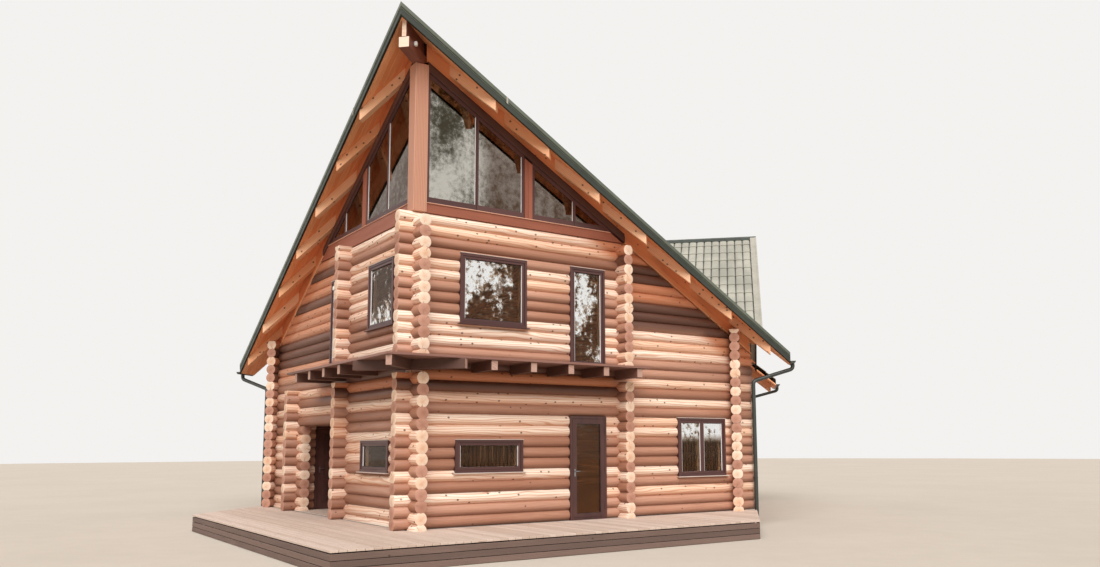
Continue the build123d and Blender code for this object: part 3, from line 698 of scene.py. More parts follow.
# %% Openings and limits
GROUND_RIGHT = 2.25
GROUND_LEFT = 2.1375
LOW_STACK_TOP = 3.0375
HIGH_STACK_FOOT = 3.375
TOP_RIGHT = 6.3
TOP_LEFT = 6.1875
PLATE_TOP = RAKE_TOP - SLOPE * (WING_RUN + LOG_RADIUS)
GABLE_TOP = CROSS_RIDGE - COVER - BOARD
right_low_window = ((0.86, 2.45), (1.07, 1.73))
right_rear_window = ((6.77, 8.31), (0.87, 2.25))
right_high_window = ((0.93, 2.53), (4.1, 5.57))
right_balcony_door = ((3.67, 4.62), (3.35, 5.58))
left_low_window = ((0.9, 2.39), (1.07, 1.73))
left_high_window = ((0.8, 2.15), (4.1, 5.53))
left_balcony_door = ((3.55, 4.47), (3.35, 5.54))
terrace_door = ((3.65, 4.63), (0.0, 2.25))
entrance_door = ((0.36, 1.36), (0.0, 2.1375))
side_windows = [((1.7, 3.24), (0.87, 2.26)), ((7.26, 8.8), (0.87, 2.26)), ((4.45, 6.05), (4.1, 5.57))]
back_windows = [((2.3, 3.9), (0.87, 2.26)), ((8.6, 10.2), (0.87, 2.26)), ((2.9, 4.5), (4.1, 5.57)),
                ((8.0, 9.6), (4.1, 5.57))]
balcony_gap = ((-1.0, -LOG_RADIUS), (LOW_STACK_TOP, HIGH_STACK_FOOT))


def roof_plane(level, side):
    """A plane of the main roof on one side of the ridge, at a height at the ridge."""
    return level_at(0, 0, level), unit(side * SLOPE, 0, 1)


def cross_plane(level, side):
    return level_at(0, MIDDLE, level), unit(0, side * SLOPE, 1)


print("the openings are", 9 + 2 * len(side_windows) + len(back_windows))

# %% Wings
whole = (-RUN_ON, WING_LENGTH + CORNER_RUN_ON)
log_walls("right_wall_ground",
          (right_wing, whole, (0, GROUND_RIGHT), [right_low_window, right_rear_window, terrace_door]))
log_walls("right_wall_upper",
          (right_wing, whole, (GROUND_RIGHT, TOP_RIGHT),
           [right_high_window, right_balcony_door, balcony_gap], [roof_plane(RAKE_FOOT, 1)]))
log_walls("left_wall_ground",
          (left_wing, (-RUN_ON, NICHE_NEAR + RUN_ON), (0, GROUND_LEFT), [left_low_window]),
          (left_wing, (NICHE_FAR - RUN_ON, whole[1]), (0, GROUND_LEFT), [left_low_window]))
log_walls("left_wall_upper",
          (left_wing, whole, (GROUND_LEFT, TOP_LEFT),
           [left_high_window, left_balcony_door, balcony_gap], [roof_plane(RAKE_FOOT, -1)]))

# %% Cross walls' ends and the entrance niche
across_right = across(right_wing, RIGHT_CROSS_WALL, (1, -1), 1, -COURSE / 2, LEFT_TONES)
across_left = across(left_wing, NICHE_NEAR, (-1, -1), 1, 0, RIGHT_TONES)
stub, low_range, high_range = (0, RUN_ON), (0, LOW_STACK_TOP), (HIGH_STACK_FOOT, TOP_LEFT)
log_walls("cross_log_ends", (across_right, stub, low_range), (across_right, stub, high_range),
          (across_left, stub, high_range), ending="_discs")
NICHE_END = 2.03
log_walls("niche_near_wall", (niche_near, (-RUN_ON, NICHE_END), low_range))
log_walls("niche_door_wall", (niche_door_side, (-RUN_ON, entrance_door[0][0]), (0, GROUND_LEFT)),
          (niche_door_side, (entrance_door[0][1], NICHE_END), (0, GROUND_LEFT)))
log_walls("niche_wall_over_door", (niche_door_side, (-RUN_ON, NICHE_END), (GROUND_LEFT, LOW_STACK_TOP)))
log_walls("niche_back_wall", (niche_back, (0, NICHE_FAR - NICHE_NEAR), low_range))

# %% Side walls with their gables, and the back wall
GABLE_INSET = 1.2
side_stacks = []
for wall in (right_side, left_side):
    side_stacks.append((wall, (-CORNER_RUN_ON, DEPTH + RUN_ON), (0, PLATE_TOP), side_windows[:2]))
    side_stacks.append((wall, (GABLE_INSET, DEPTH - GABLE_INSET), (PLATE_TOP, GABLE_TOP), side_windows[2:],
                        [cross_plane(GABLE_TOP, side) for side in BOTH]))
log_walls("side_walls", *side_stacks)
log_walls("back_wall", (back, (-RUN_ON, 2 * WING_RUN + RUN_ON), (0, RAKE_TOP), back_windows,
                        [roof_plane(RAKE_TOP, side) for side in BOTH]))

# %% [markdown]
# ## More finishes
# Planed wood shares the grain above in other colours. Solids that stay as the model has them carry no UV map,
# so their finish reads places in the house's own frame instead.


# %% Planed woods
rafter_wood = wood("rafter_pine", (252, 204, 164), (236, 174, 128), (208, 132, 86), (64, 30, 24), 28,
                   knot_share=0.5, knot_size=0.13)
soffit_wood = wood("soffit_boards", (254, 188, 136), (242, 156, 102), (204, 112, 66), (120, 58, 36), 40,
                   knot_share=0.06)
block_wood = wood("boards_between_rafters", (244, 172, 122), (224, 146, 98), (190, 108, 68), (90, 42, 28), 40,
                  knot_share=0.12)
post_wood = wood("stained_post", (232, 180, 154), (200, 146, 120), (156, 102, 82), (100, 58, 48), 30,
                 warp=2.0, ring_show=0.55, knot_share=0.0, gloss=0.45)
# dark brown for the shade under the roof: painted shade on the ridge beam and its board
beam_painted_shade_wood = wood("beam_painted_shade", (118, 70, 56), (96, 55, 44), (76, 42, 34), (60, 32, 26), 30,
                 ring_show=0.3, knot_share=0.0, gloss=0.45)
sill_wood = wood("stained_sill_boards", (158, 92, 68), (132, 72, 51), (106, 55, 40), (80, 44, 36), 30,
                 ring_show=0.2, knot_share=0.0, gloss=0.45)
rake_wood = wood("dark_rake_boards", (96, 60, 50), (78, 48, 40), (62, 38, 32), (50, 30, 26), 30,
                 ring_show=0.2, knot_share=0.0)
frame_wood = wood("dark_window_frames", (88, 54, 50), (74, 44, 42), (58, 34, 33), (50, 30, 28), 60,
                  ring_show=0.15, knot_share=0.0, gloss=0.32)
# the last colour is the balcony wood's painted shade underneath
balcony_wood = wood("dusty_balcony_wood", (158, 116, 102), (134, 94, 82), (106, 72, 62), (82, 54, 46), 34,
                    ring_show=0.3, knot_share=0.05, painted_shade_colour=(74, 44, 32))
balcony_end = end_grain("pale_joist_ends", (196, 160, 144), (176, 138, 122), (140, 104, 92), 0.4)
deck_wood = wood("weathered_deck", (218, 198, 184), (198, 176, 160), (160, 136, 122), (120, 94, 82), 60,
                 knot_share=0.06, gloss=0.65)
skirt_wood = wood("deck_skirt_boards", (128, 104, 94), (104, 84, 76), (80, 64, 58), (60, 46, 42), 40,
                  knot_share=0.05, gloss=0.7)
door_wood = wood("dark_door", (76, 46, 40), (62, 37, 33), (48, 28, 26), (40, 24, 22), 50,
                 ring_show=0.25, knot_share=0.0, gloss=0.35)
print(len(bpy.data.materials), "finishes so far")


# %% Paint, metal, glass and stone
def by_place(name, pale, deep, scale, gloss, bump=0.05, **values):
    """A mottled finish that follows the place on the house; scale is a stretch along each axis."""
    finish = Finish(name, **values)
    place = finish.stretched(finish.place(), scale)
    fine = finish.noise(place, 9.0, 3.0, 0.6)
    finish.bump(fine, bump)
    mottling = finish.noise(place, 1.0, 4.0, 0.6) * 0.7 + fine * 0.3
    colour = finish.mix(finish.ease(mottling, 0.35, 0.65), pale, deep)
    return finish.paint(base_color=colour, roughness=finish.ease(fine, 0.3, 0.7) * 0.12 + gloss)


liner = by_place("pale_frame_liner", (240, 238, 238), (228, 226, 226), (3, 3, 3), 0.4)
sill_metal = by_place("pale_sill_sheet", (214, 198, 188), (198, 182, 172), (3, 3, 3), 0.35)
blind = by_place("blind_slats", (190, 152, 126), (166, 130, 106), (2, 2, 6), 0.5)
# painted shade: the dark of the unlit rooms behind the low windows
blind_painted_dark = by_place("blinds_painted_shade", (108, 88, 72), (90, 72, 60), (2, 2, 6), 0.6)
gasket = by_place("dark_gasket", (34, 28, 27), (26, 22, 22), (8, 8, 8), 0.6, 0.1)
metal_green = by_place("dark_green_sheet", (52, 58, 48), (40, 46, 38), (0.8, 0.8, 0.8), 0.4, 0.08)
# a paler green for the verges' top lip and fold strip: painted highlight
green_sheet_highlight = by_place("green_sheet_painted_highlight", (104, 110, 96), (86, 92, 80), (0.8, 0.8, 0.8), 0.35, 0.08)
# pale grey like the tiles: a painted reflection of the sky on the dark sheet
sheet_painted_sheen = by_place("pale_strips_painted_sheen", (176, 172, 160), (156, 152, 140), (0.8, 0.8, 0.8), 0.4, 0.08)
gutter_metal = by_place("dark_gutter_metal", (62, 66, 62), (48, 52, 49), (1.5, 1.5, 1.5), 0.3)
concrete = by_place("concrete", (168, 164, 158), (142, 138, 132), (1.6, 1.6, 2.4), 0.8, 0.5)
floor_boards = by_place("floor_boards", (186, 140, 104), (160, 114, 82), (0.6, 9.0, 1.0), 0.5, 0.1)
dark_board = by_place("dark_boards", (100, 64, 54), (80, 50, 43), (4, 4, 1), 0.5, 0.2)
steel = by_place("brushed_steel", (176, 176, 178), (150, 150, 153), (6, 6, 40), 0.28, metallic=1.0)
white_lamp = by_place("white_enamel", (236, 234, 228), (224, 221, 214), (4, 4, 4), 0.3, 0.02)
door_solid = by_place("dark_door_solids", (84, 52, 47), (68, 41, 38), (5, 5, 0.8), 0.34, 0.15)


def window_glass():
    """Panes with a painted reflection of trees: mottled in the gable, painted sky patches upstairs, dark
    below.
    """
    finish = Finish("window_glass", transmission_weight=1.0, roughness=0.03, ior=1.13)
    ease = finish.ease
    place = finish.place()
    x, _, height = finish.parts(place)
    crowns = finish.noise(place, 0.8, 1.0)
    trunks = finish.noise(finish.stretched(place, (5, 5, 0.7)), 1.0, 3.0)
    twigs = finish.noise(place, 8.0, 6.0, 0.75)
    # painted reflection of tree crowns, trunks and twigs
    painted_tree_reflection = crowns * 0.4 + twigs * 0.45 + trunks * 0.15
    gable = ease(height, 6.6, 6.9)
    # painted bright sky between the trees, upstairs, shown by a metallic coat
    painted_sky_patches = ease(painted_tree_reflection + ease(x, 4.2, 4.6) * 0.07, 0.515, 0.58) * ease(height, 2.05, 2.3)
    # panes off to the sides get a darker painted reflection
    aside = 1 - ease(x, -0.02, 0.02) * (1 - ease(x, 0.9, 1.3))
    mottled = finish.mix(ease(painted_tree_reflection, 0.38, 0.6), (84, 78, 62), (228, 224, 214))
    mottled = finish.mix(aside * 0.65, mottled, (104, 72, 54))
    clear = finish.mix(painted_sky_patches, (204, 178, 152), (252, 252, 250))
    finish.bump(crowns, 0.05, 0.01)
    return finish.paint(base_color=finish.mix(gable, clear, mottled),
                        metallic=gable * 0.66 + (1 - gable) * (painted_sky_patches * 0.85 + 0.03))


def roof_tile_finish():
    """Sheet tiles: pale grey, a painted reflection of the sky; dark valleys, partly dirt and partly painted
    shade.
    """
    finish = Finish("roof_tiles")
    place = finish.place()
    cloud = finish.noise(place, 0.7, 4.0, 0.6)
    grit = finish.noise(place, 60.0, 3.0, 0.7)
    # the pale grey mottle is a painted reflection of the sky on the dark sheet
    painted_sheen_mottle = finish.ease(cloud * 0.7 + grit * 0.3, 0.35, 0.65)
    # dark valleys: partly dirt, partly painted shade under the tiles' rises
    valley_shade_and_dirt = finish.ease(finish.tone(), 0.3, 0.85) * 0.92
    colour = finish.mix(valley_shade_and_dirt, finish.mix(painted_sheen_mottle, (186, 183, 170), (148, 146, 134)), (44, 48, 42))
    finish.bump(grit, 0.15, 0.001)
    return finish.paint(base_color=colour, roughness=cloud * 0.2 + 0.35)


glass = window_glass()
roof_tiles = roof_tile_finish()
print(len(bpy.data.materials), "finishes so far")

# %% Dressing solids that keep their shape
kept_solids = {
    "wing_windows_glass": glass, "rear_windows_glass": glass, "balcony_doors_glass": glass,
    "gable_glass": glass, "terrace_door_glass": glass, "foundation": concrete,
    "ground_floor": floor_boards, "upper_floor": floor_boards, "deck_bearers": dark_board,
    "terrace_door_handle": steel, "entrance_door_handle": steel, "terrace_door_frame": door_solid,
    "terrace_door_leaf": door_solid, "entrance_door_frame": door_solid, "entrance_door_leaf": door_solid,
}
for name, finish in kept_solids.items():
    nodes[name].data.materials.clear()
    nodes[name].data.materials.append(finish)
print(len(kept_solids), "solids keep their shape")

# %% [markdown]
# ## Windows and upper doors
# Each opening has a casing, a sash set a little back from it, a dark gasket round the glass and a pale
# liner behind it. A sheet-metal sill stands proud below. Slatted blinds hang inside.

# %% Window parts
CASING = 0.055
SASH = 0.06
FACE = LOG_RADIUS + 0.015
GLASS_OUT = LOG_RADIUS - CASING
BEAD = 0.012
BEAD_FOOT = GLASS_OUT + 0.024
UPPER_FLOOR = 2


def widen(span, margin):
    return span[0] - margin, span[1] + margin


def ring(piece, wall, along, up, width, out, ease=0.003, finish=0):
    """Four bars round a rectangle, inside its edge; the uprights run the full height."""
    (near, far), (low, high) = along, up
    piece.bar(wall, (near, near + width), out, up, True, ease, finish)
    piece.bar(wall, (far - width, far), out, up, True, ease, finish)
    piece.bar(wall, (near + width, far - width), out, (high - width, high), False, ease, finish)
    piece.bar(wall, (near + width, far - width), out, (low, low + width), False, ease, finish)


def slats(piece, wall, along, out, up, pitch=0.03, depth=0.022):
    """A blind of level slats, all turned by the same angle."""
    low, high = up
    turn = 0.6
    high_way = math.cos(turn) * UP + math.sin(turn) * wall.out
    for step in range(int((high - low) / pitch)):
        centre = wall.spot(sum(along) / 2, sum(out) / 2, low + (step + 0.5) * pitch)
        piece.take(block(centre, wall.heading, high_way, (along[1] - along[0], depth, 0.0015), 0))


def upright_slats(piece, wall, along, out, up):
    """A blind of hanging slats that overlap a little, painted dark: painted shade of the room behind."""
    near, far = along
    turn = 0.35
    high_way = (math.cos(turn) * wall.out + math.sin(turn) * wall.heading).normalized()
    count = int((far - near) / 0.085)
    for step in range(count):
        centre = wall.spot(near + (step + 0.5) * (far - near) / count, out, sum(up) / 2)
        piece.take(block(centre, UP, high_way, (up[1] - up[0], 0.09, 0.002), 0, 1))


def window(frames, screens, wall, hole, halved, with_slats):
    """Fills an opening: a casing, one or two sashes and their linings, a blind, a sill and a head sheet."""
    along, (low, high) = hole
    ring(frames, wall, along, hole[1], CASING, (FACE - 0.1, FACE))
    inner, inner_up = widen(along, -CASING), widen(hole[1], -CASING)
    edges = [inner[0], sum(along) / 2, inner[1]] if halved else inner
    for light in zip(edges, edges[1:]):
        pane, pane_up = widen(light, -SASH), widen(inner_up, -SASH)
        ring(frames, wall, widen(light, -0.002), inner_up, SASH - 0.002, (FACE - 0.1, FACE - 0.014), 0.005)
        ring(frames, wall, pane, pane_up, 0.008, (BEAD_FOOT, BEAD_FOOT + 0.01), 0.001, 1)
        for side in ((pane[0], pane[0] + BEAD), (pane[1] - BEAD, pane[1])):
            frames.bar(wall, side, (BEAD_FOOT, FACE - 0.022), pane_up, True, 0.003, 2)
        lining = widen(pane, 0.02), widen(pane_up, 0.02)
        ring(frames, wall, *lining, 0.02, (GLASS_OUT - 0.1, GLASS_OUT), 0.002, 2)
        if with_slats:
            slats(screens, wall, widen(pane, -0.01), (GLASS_OUT - 0.045, GLASS_OUT - 0.015), pane_up)
        else:
            upright_slats(screens, wall, pane, GLASS_OUT - 0.09, pane_up)
    sheet = 3 if low < UPPER_FLOOR else 0
    frames.bar(wall, widen(along, 0.05), (FACE - 0.02, FACE + 0.06), (low - 0.02, low), False, 0.004, sheet)
    frames.bar(wall, widen(along, 0.01), (FACE - 0.06, FACE + 0.012), (high, high + 0.014), False, 0.003, 3)


rear = [(wall, hole) for wall in (right_side, left_side) for hole in side_windows]
rear += [(back, hole) for hole in back_windows]
window_groups = {
    "wing_windows": [
        (right_wing, right_low_window, False, False), (right_wing, right_rear_window, True, False),
        (right_wing, right_high_window, False, True), (left_wing, left_low_window, False, False),
        (left_wing, left_high_window, False, True),
    ],
    "rear_windows": [(wall, hole, True, False) for wall, hole in rear],
    "balcony_doors": [
        (right_wing, right_balcony_door, False, True), (left_wing, left_balcony_door, False, True),
    ],
}
for group, windows in window_groups.items():
    frames = Piece(group + "_frame_bars", [frame_wood, gasket, liner, sill_metal])
    screens = Piece(group + "_blinds", [blind, blind_painted_dark])
    for values in windows:
        window(frames, screens, *values)
    frames.done([group + "_frames"])
    screens.done()

# %% [markdown]
# ## Gable above the wings
# A square post stands on the prow under the ridge beam. Sill boards lie on the top logs, dark frames hold
# the glass, a stained post divides them, and the rake boards follow the roof.

# %% Boards that follow a slope
PROW_CLEAR = 0.15
GLAZING_SILL = 6.5
POST_RANGE = (2.49, 2.69)
FRAME_BAR = 0.07
FOOT_BAR = 0.14
FRAME_DEPTH = 0.09
LIGHT_GAP = 0.005
POST_MIDDLE = sum(POST_RANGE) / 2
POST_IN = (POST_RANGE[0] + 0.004, POST_RANGE[1] - 0.004)


def rake_place(height, level):
    return (level - height) / SLOPE * math.sqrt(2)


def wing_line(wall, ends, level):
    """The roof's line over a wing, between two places along it."""
    return [wall.spot(along, 0, level - SLOPE * along / math.sqrt(2)) for along in ends]


def wing_limits(wall, along):
    return [(wall.spot(along[0]), -wall.heading), (wall.spot(along[1]), wall.heading)]


def sloped_board(line, outward, thick, drop, ease=0.004, finish=0):
    """A board below a line: thick is its range outward and drop its range down from the line."""
    run = line[1] - line[0]
    direction = run.normalized()
    high_way = outward.cross(direction)
    if high_way.z < 0:
        high_way = -high_way
    lean = high_way.z
    centre = (line[0] + line[1]) / 2 + outward * sum(thick) / 2 - high_way * sum(drop) / 2 * lean
    size = (run.length + 1.0, thick[1] - thick[0], (drop[1] - drop[0]) * lean)
    return block(centre, direction, high_way, size, ease, finish)


rakes = Piece("gable_rake_boards", [rake_wood, block_wood, rafter_wood])
sills = Piece("gable_sill_boards", [sill_wood, post_wood])
bars = Piece("gable_glazing_bars", [frame_wood, sill_wood, liner])
sill_end = rake_place(GLAZING_SILL, RAKE_FOOT)
rake_run = (PROW_CLEAR, WING_LENGTH + CORNER_RUN_ON)
dark_end = sill_end + 0.3
halves = [(start + end) / 2 for start, end in ((PROW_CLEAR, POST_RANGE[0]), (POST_RANGE[1], sill_end))]
lights = ((PROW_CLEAR, halves[0] - LIGHT_GAP), (halves[0] + LIGHT_GAP, POST_RANGE[0]),
          (POST_RANGE[1], halves[1] - LIGHT_GAP), (halves[1] + LIGHT_GAP, sill_end))
rake_up, bead_up = (GLAZING_SILL, RAKE_FOOT), (GLAZING_SILL + FOOT_BAR, RAKE_FOOT)
bar_out, bead_out = (0, FRAME_DEPTH - 0.004), (-0.06, FRAME_DEPTH / 2)
for wall, side, top in ((right_wing, 1, TOP_RIGHT), (left_wing, -1, TOP_LEFT)):
    line = wing_line(wall, rake_run, RAKE_TOP)
    above, below = wing_limits(wall, (PROW_CLEAR, dark_end)), wing_limits(wall, (dark_end, rake_run[1]))
    for out, drop, limits, finish in (
        ((-LOG_RADIUS, 0.02), (-RAFTER, 0.18), wing_limits(wall, rake_run), 1),
        ((-LOG_RADIUS, 0.105), (0.16, 0.215), above, 0),
        ((-LOG_RADIUS, 0.12), (0.215, RAKE), above, 0),
        ((-LOG_RADIUS, 0.06), (0.18, RAKE), below, 1),
        ((0.06, 0.1), (RAKE - 0.025, RAKE), below, 2),
    ):
        rakes.take(sloped_board(line, wall.out, out, drop, finish=finish), limits)
    under_rake = [roof_plane(RAKE_FOOT, side)]
    board_end = rake_place(top, RAKE_FOOT) + 0.1
    sills.bar(wall, (PROW_CLEAR, board_end), (-LOG_RADIUS, 0.12), (top, GLAZING_SILL), limits=under_rake)
    strip_up = (GLAZING_SILL - 0.004, GLAZING_SILL + 0.012)
    sills.bar(wall, (PROW_CLEAR, sill_end), (0.06, 0.145), strip_up, False, 0.004, 1, limits=under_rake)
    line = wing_line(wall, (PROW_CLEAR, sill_end), RAKE_FOOT)
    for start, end in lights:
        width = FRAME_BAR if start in (PROW_CLEAR, POST_RANGE[1]) else FRAME_BAR / 2
        last = FRAME_BAR if end == POST_RANGE[0] else FRAME_BAR / 2
        limits = wing_limits(wall, (start, end)) + [(wall.spot(0, 0, GLAZING_SILL), -UP)]
        bars.take(sloped_board(line, wall.out, (0, FRAME_DEPTH), (0, FRAME_BAR * STRETCH)), limits)
        bars.bar(wall, (start, end), (0, FRAME_DEPTH), (GLAZING_SILL, bead_up[0]), limits=under_rake)
        uprights = [((start, start + width), bar_out, rake_up, 0.003, 0)]
        if end != sill_end:
            edge = end - last
            uprights += [((edge, end), bar_out, rake_up, 0.003, 0),
                         ((edge - BEAD, edge), bead_out, bead_up, 0.002, 2),
                         ((edge - 0.01, edge), (0.069, 0.083), bead_up, 0.002, 2)]
        uprights.append(((start + width, start + width + BEAD), bead_out, bead_up, 0.002, 2))
        for along, out, up, ease, finish in uprights:
            bars.bar(wall, along, out, up, True, ease, finish, limits=under_rake)
    post_up = (GLAZING_SILL - 0.09, RAKE_FOOT)
    for half in ((POST_IN[0], POST_MIDDLE - 0.002), (POST_MIDDLE + 0.002, POST_IN[1])):
        bars.bar(wall, half, (-0.05, 0.115), post_up, True, 0.004, 1, limits=under_rake)
rakes.done(["gable_rakes"])
sills.done(["gable_sills"])
bars.done(["gable_frames"])

POST_WIDTH = 0.3
post = Piece("prow_post", [post_wood])
post_top = BEAM_TOP - BEAM_WIDTH
post_centre = level_at(0, -WING_RUN, (TOP_RIGHT + post_top) / 2)
post.take(block(post_centre, UP, right_wing.out, (post_top - TOP_RIGHT, POST_WIDTH, POST_WIDTH), 0.012))
post.done(["gable_post"])

# %% [markdown]
# ## Roof from below
# The ridge beam carries a board that the rafters meet. The rafters stop short of the slanting verge, so
# each is longer than the last, and boards lie across them.

# %% Ridge beam, rafters and soffit boards
BEAM_PAST = 0.9
FIRST_RAFTER = -WING_RUN + 0.55
RAFTER_PITCH = 0.94
RAFTER_HALF = 0.085
RAFTER_STOP = 0.15
SOFFIT_BOARD = 0.14
SOFFIT_WIDTH, SOFFIT_THICK = SOFFIT_BOARD - 0.002, BOARD * 0.95
board_top = RAKE_TOP + RAFTER
# the beam and its board wear painted shade; their ends stay pale pine
beam = Piece("ridge_beam_with_board", [beam_painted_shade_wood, pine_end])
length, middle = WING_RUN + DEPTH + 2 * BEAM_PAST, (DEPTH - WING_RUN) / 2
for width, foot, top in ((BEAM_WIDTH, BEAM_TOP - BEAM_WIDTH, BEAM_TOP), (0.1, BEAM_TOP, board_top)):
    shape = block(level_at(0, middle, (foot + top) / 2), REARWARD, UP, (length, width, top - foot), 0.006)
    beam.take(finish_ends(shape, REARWARD), [roof_plane(board_top, side) for side in BOTH])
beam.done(["ridge_beam"])

rafters = Piece("rafter_rows", [rafter_wood])
rows = [FIRST_RAFTER + RAFTER_PITCH * k for k in range(17)]
rows = [y for y in rows if y < DEPTH - RAFTER_PITCH / 2] + [DEPTH, DEPTH + RAFTER_PITCH]
for y in rows:
    reach = min(y - FRONT_TIP, EAVE_REACH) - RAFTER_STOP
    for side in BOTH:
        line = [level_at(side * x, y, board_top - SLOPE * x) for x in (0.05, reach)]
        limits = [(line[0], -side * ASIDE), (line[1], side * ASIDE)]
        if abs(y - MIDDLE) < MIDDLE - EAVE_END + (CROSS_RIDGE - GABLE_TOP) / SLOPE:
            point, normal = cross_plane(GABLE_TOP, 1 if y > MIDDLE else -1)
            limits.append((point, -normal))
        rafters.take(sloped_board(line, REARWARD, (-RAFTER_HALF, RAFTER_HALF), (0, RAFTER), 0.008), limits)
rafters.done(["rafters"])


def slope_parts(side):
    """The main roof's slope as convex parts in plan, each as limits: it stops where the cross roof starts."""
    out = side * ASIDE

    def inside(x):
        return out * x, out

    def beyond(x):
        return out * x, -out

    front = (Vector((0, FRONT_TIP + 0.05 * math.sqrt(2), 0)), unit(side, -1))
    rear = (Vector((0, BACK_EDGE - 0.05, 0)), REARWARD)
    join = Vector((side * JOIN, MIDDLE, 0))
    near_valley = (join, (out + REARWARD).normalized())
    far_valley = (join, (out - REARWARD).normalized())
    return [
        [beyond(0), inside(JOIN), front, rear],
        [beyond(JOIN), inside(CROSS_REACH), front, near_valley],
        [beyond(JOIN), inside(CROSS_REACH), rear, far_valley],
        [beyond(CROSS_REACH), inside(EAVE_REACH), front, (Vector((0, EAVE_END, 0)), REARWARD)],
        [beyond(CROSS_REACH), inside(EAVE_REACH), rear, (Vector((0, DEPTH - EAVE_END, 0)), -REARWARD)],
    ]


for side, name in SIDES:
    parts = slope_parts(side)
    soffit = Piece(name + "_soffit_boards", [soffit_wood])
    face_up, slant = unit(side * SLOPE, 0, 1), unit(side, 1, -SLOPE)
    inward = face_up.cross(slant) * side
    start = level_at(0, FRONT_TIP, RIDGE - COVER - BOARD / 2) + slant * EAVE_REACH * 0.9
    size = (EAVE_REACH * 3.4, SOFFIT_WIDTH, SOFFIT_THICK)
    for step in range(int((BACK_EDGE - FRONT_TIP) * inward.y / SOFFIT_BOARD) + 1):
        centre = start + inward * (step + 0.5) * SOFFIT_BOARD
        tone = draws.random()
        for limits in parts:
            soffit.take(block(centre, slant, face_up, size, 0.005, 0, tone), limits)
    soffit.done([name + "_roof_boards"])

# %% [markdown]
# ## Roof from above
# Pressed sheet tiles cover both roofs: broad pans between narrow valleys, in rows that step down the slope.
# Dark green sheet metal covers the ridges and verges.

# %% Tiles
PAN = 0.236
ROW = 0.5
PAN_RISE = 0.028
ROW_STEP = 0.018
PAN_PLACES = (0, 0.07, 0.16, 0.35, 0.65, 0.84, 0.93)
PAN_HEIGHTS = (0, 0.45, 0.82, 1.0, 1.0, 0.82, 0.45)
SHEET_DROP = PAN_RISE + ROW_STEP
VERGE = 0.05
LIP_STRIP = 0.13
CROSS_SPAN = 4.6


def tile_sheet(top_corner, along, downhill, face_up, width, depth, limits):
    """Tiles over a rectangle of a slope, then cut to its outline."""
    pans, rows = math.ceil(width / PAN), math.ceil(depth / ROW)
    nx, ny = pans * len(PAN_PLACES), 2 * rows - 1
    shape = start_shape()
    bmesh.ops.create_grid(shape, x_segments=nx, y_segments=ny, size=1)
    tone = shape.verts.layers.float["tone"]
    for vert in shape.verts:
        pan, spot = divmod(round((vert.co.x + 1) / 2 * nx), len(PAN_PLACES))
        line = round((vert.co.y + 1) / 2 * ny)
        rise = PAN_HEIGHTS[spot]
        lift = rise * PAN_RISE + ROW_STEP * (line % 2)
        # the tone is high in the valleys and a little higher on every other line: the tile finish paints them
        # dark, dirt and painted shade
        vert[tone] = (1 - rise) * 0.9 + 0.1 * (line % 2 == 0)
        reach = along * (pan + PAN_PLACES[spot]) * PAN + downhill * ((line + 1) // 2) * ROW
        vert.co = top_corner - face_up * SHEET_DROP + reach + face_up * lift
    trim(shape, limits, closed=False)
    bmesh.ops.recalc_face_normals(shape, faces=shape.faces[:])
    if shape.faces and sum(face.normal.dot(face_up) for face in shape.faces) < 0:
        bmesh.ops.reverse_faces(shape, faces=shape.faces[:])
    return shape


def eaves(clear):
    """The two stretches of a long eave, before and behind the cross gable."""
    return (EAVE_START + clear, EAVE_END), (DEPTH - EAVE_END, BACK_EDGE - VERGE)


for side, name in SIDES:
    tiles = Piece(name + "_roof_tiles", [roof_tiles, metal_green])
    corner = level_at(0, FRONT_TIP, RIDGE)
    directions = (REARWARD, unit(side, 0, -SLOPE), unit(side * SLOPE, 0, 1))
    for limits in slope_parts(side):
        tiles.take(tile_sheet(corner, *directions, BACK_EDGE - FRONT_TIP, EAVE_REACH * STRETCH, limits))
    for start, end in eaves(0.08):
        centre = level_at(side * (EAVE_REACH - 0.012), (start + end) / 2, EAVE - COVER / 2 - 0.03)
        tiles.take(block(centre, REARWARD, UP, (end - start, 0.024, COVER - 0.02), 0.003, 1))
    tiles.done([name + "_roof_cover"])

cross_tiles = Piece("cross_roof_tiles", [roof_tiles])
cross_soffit = Piece("cross_soffit_boards", [soffit_wood])
verge_x = CROSS_REACH - VERGE
cross_length = CROSS_SPAN * STRETCH
for side in BOTH:
    for lean in BOTH:
        out, downhill, face_up = side * ASIDE, unit(0, lean, -SLOPE), unit(0, lean * SLOPE, 1)
        valley_way = unit(-side, lean)
        limits = [(Vector((side * JOIN, MIDDLE, 0)), valley_way), (out * (verge_x - LIP_STRIP), out)]
        corner = level_at(side * JOIN, MIDDLE, CROSS_RIDGE)
        cross_tiles.take(tile_sheet(corner, out, downhill, face_up, verge_x - JOIN, cross_length, limits))
        limits = [(Vector((side * (JOIN + COVER / SLOPE), MIDDLE, 0)), valley_way), roof_plane(RIDGE, side)]
        middle = level_at(side * (JOIN + verge_x) / 2, MIDDLE, CROSS_RIDGE - COVER - BOARD / 2)
        for step in range(int(cross_length / SOFFIT_BOARD)):
            centre = middle + downhill * (step + 0.5) * SOFFIT_BOARD
            size = (verge_x - JOIN, SOFFIT_WIDTH, SOFFIT_THICK)
            cross_soffit.take(block(centre, ASIDE, face_up, size, 0.005), limits)
cross_tiles.done(["cross_roof_cover"])
cross_soffit.done(["cross_roof_boards"])

# %% Verges and ridge caps
verges = Piece("verge_sheets", [metal_green, green_sheet_highlight, sheet_painted_sheen])


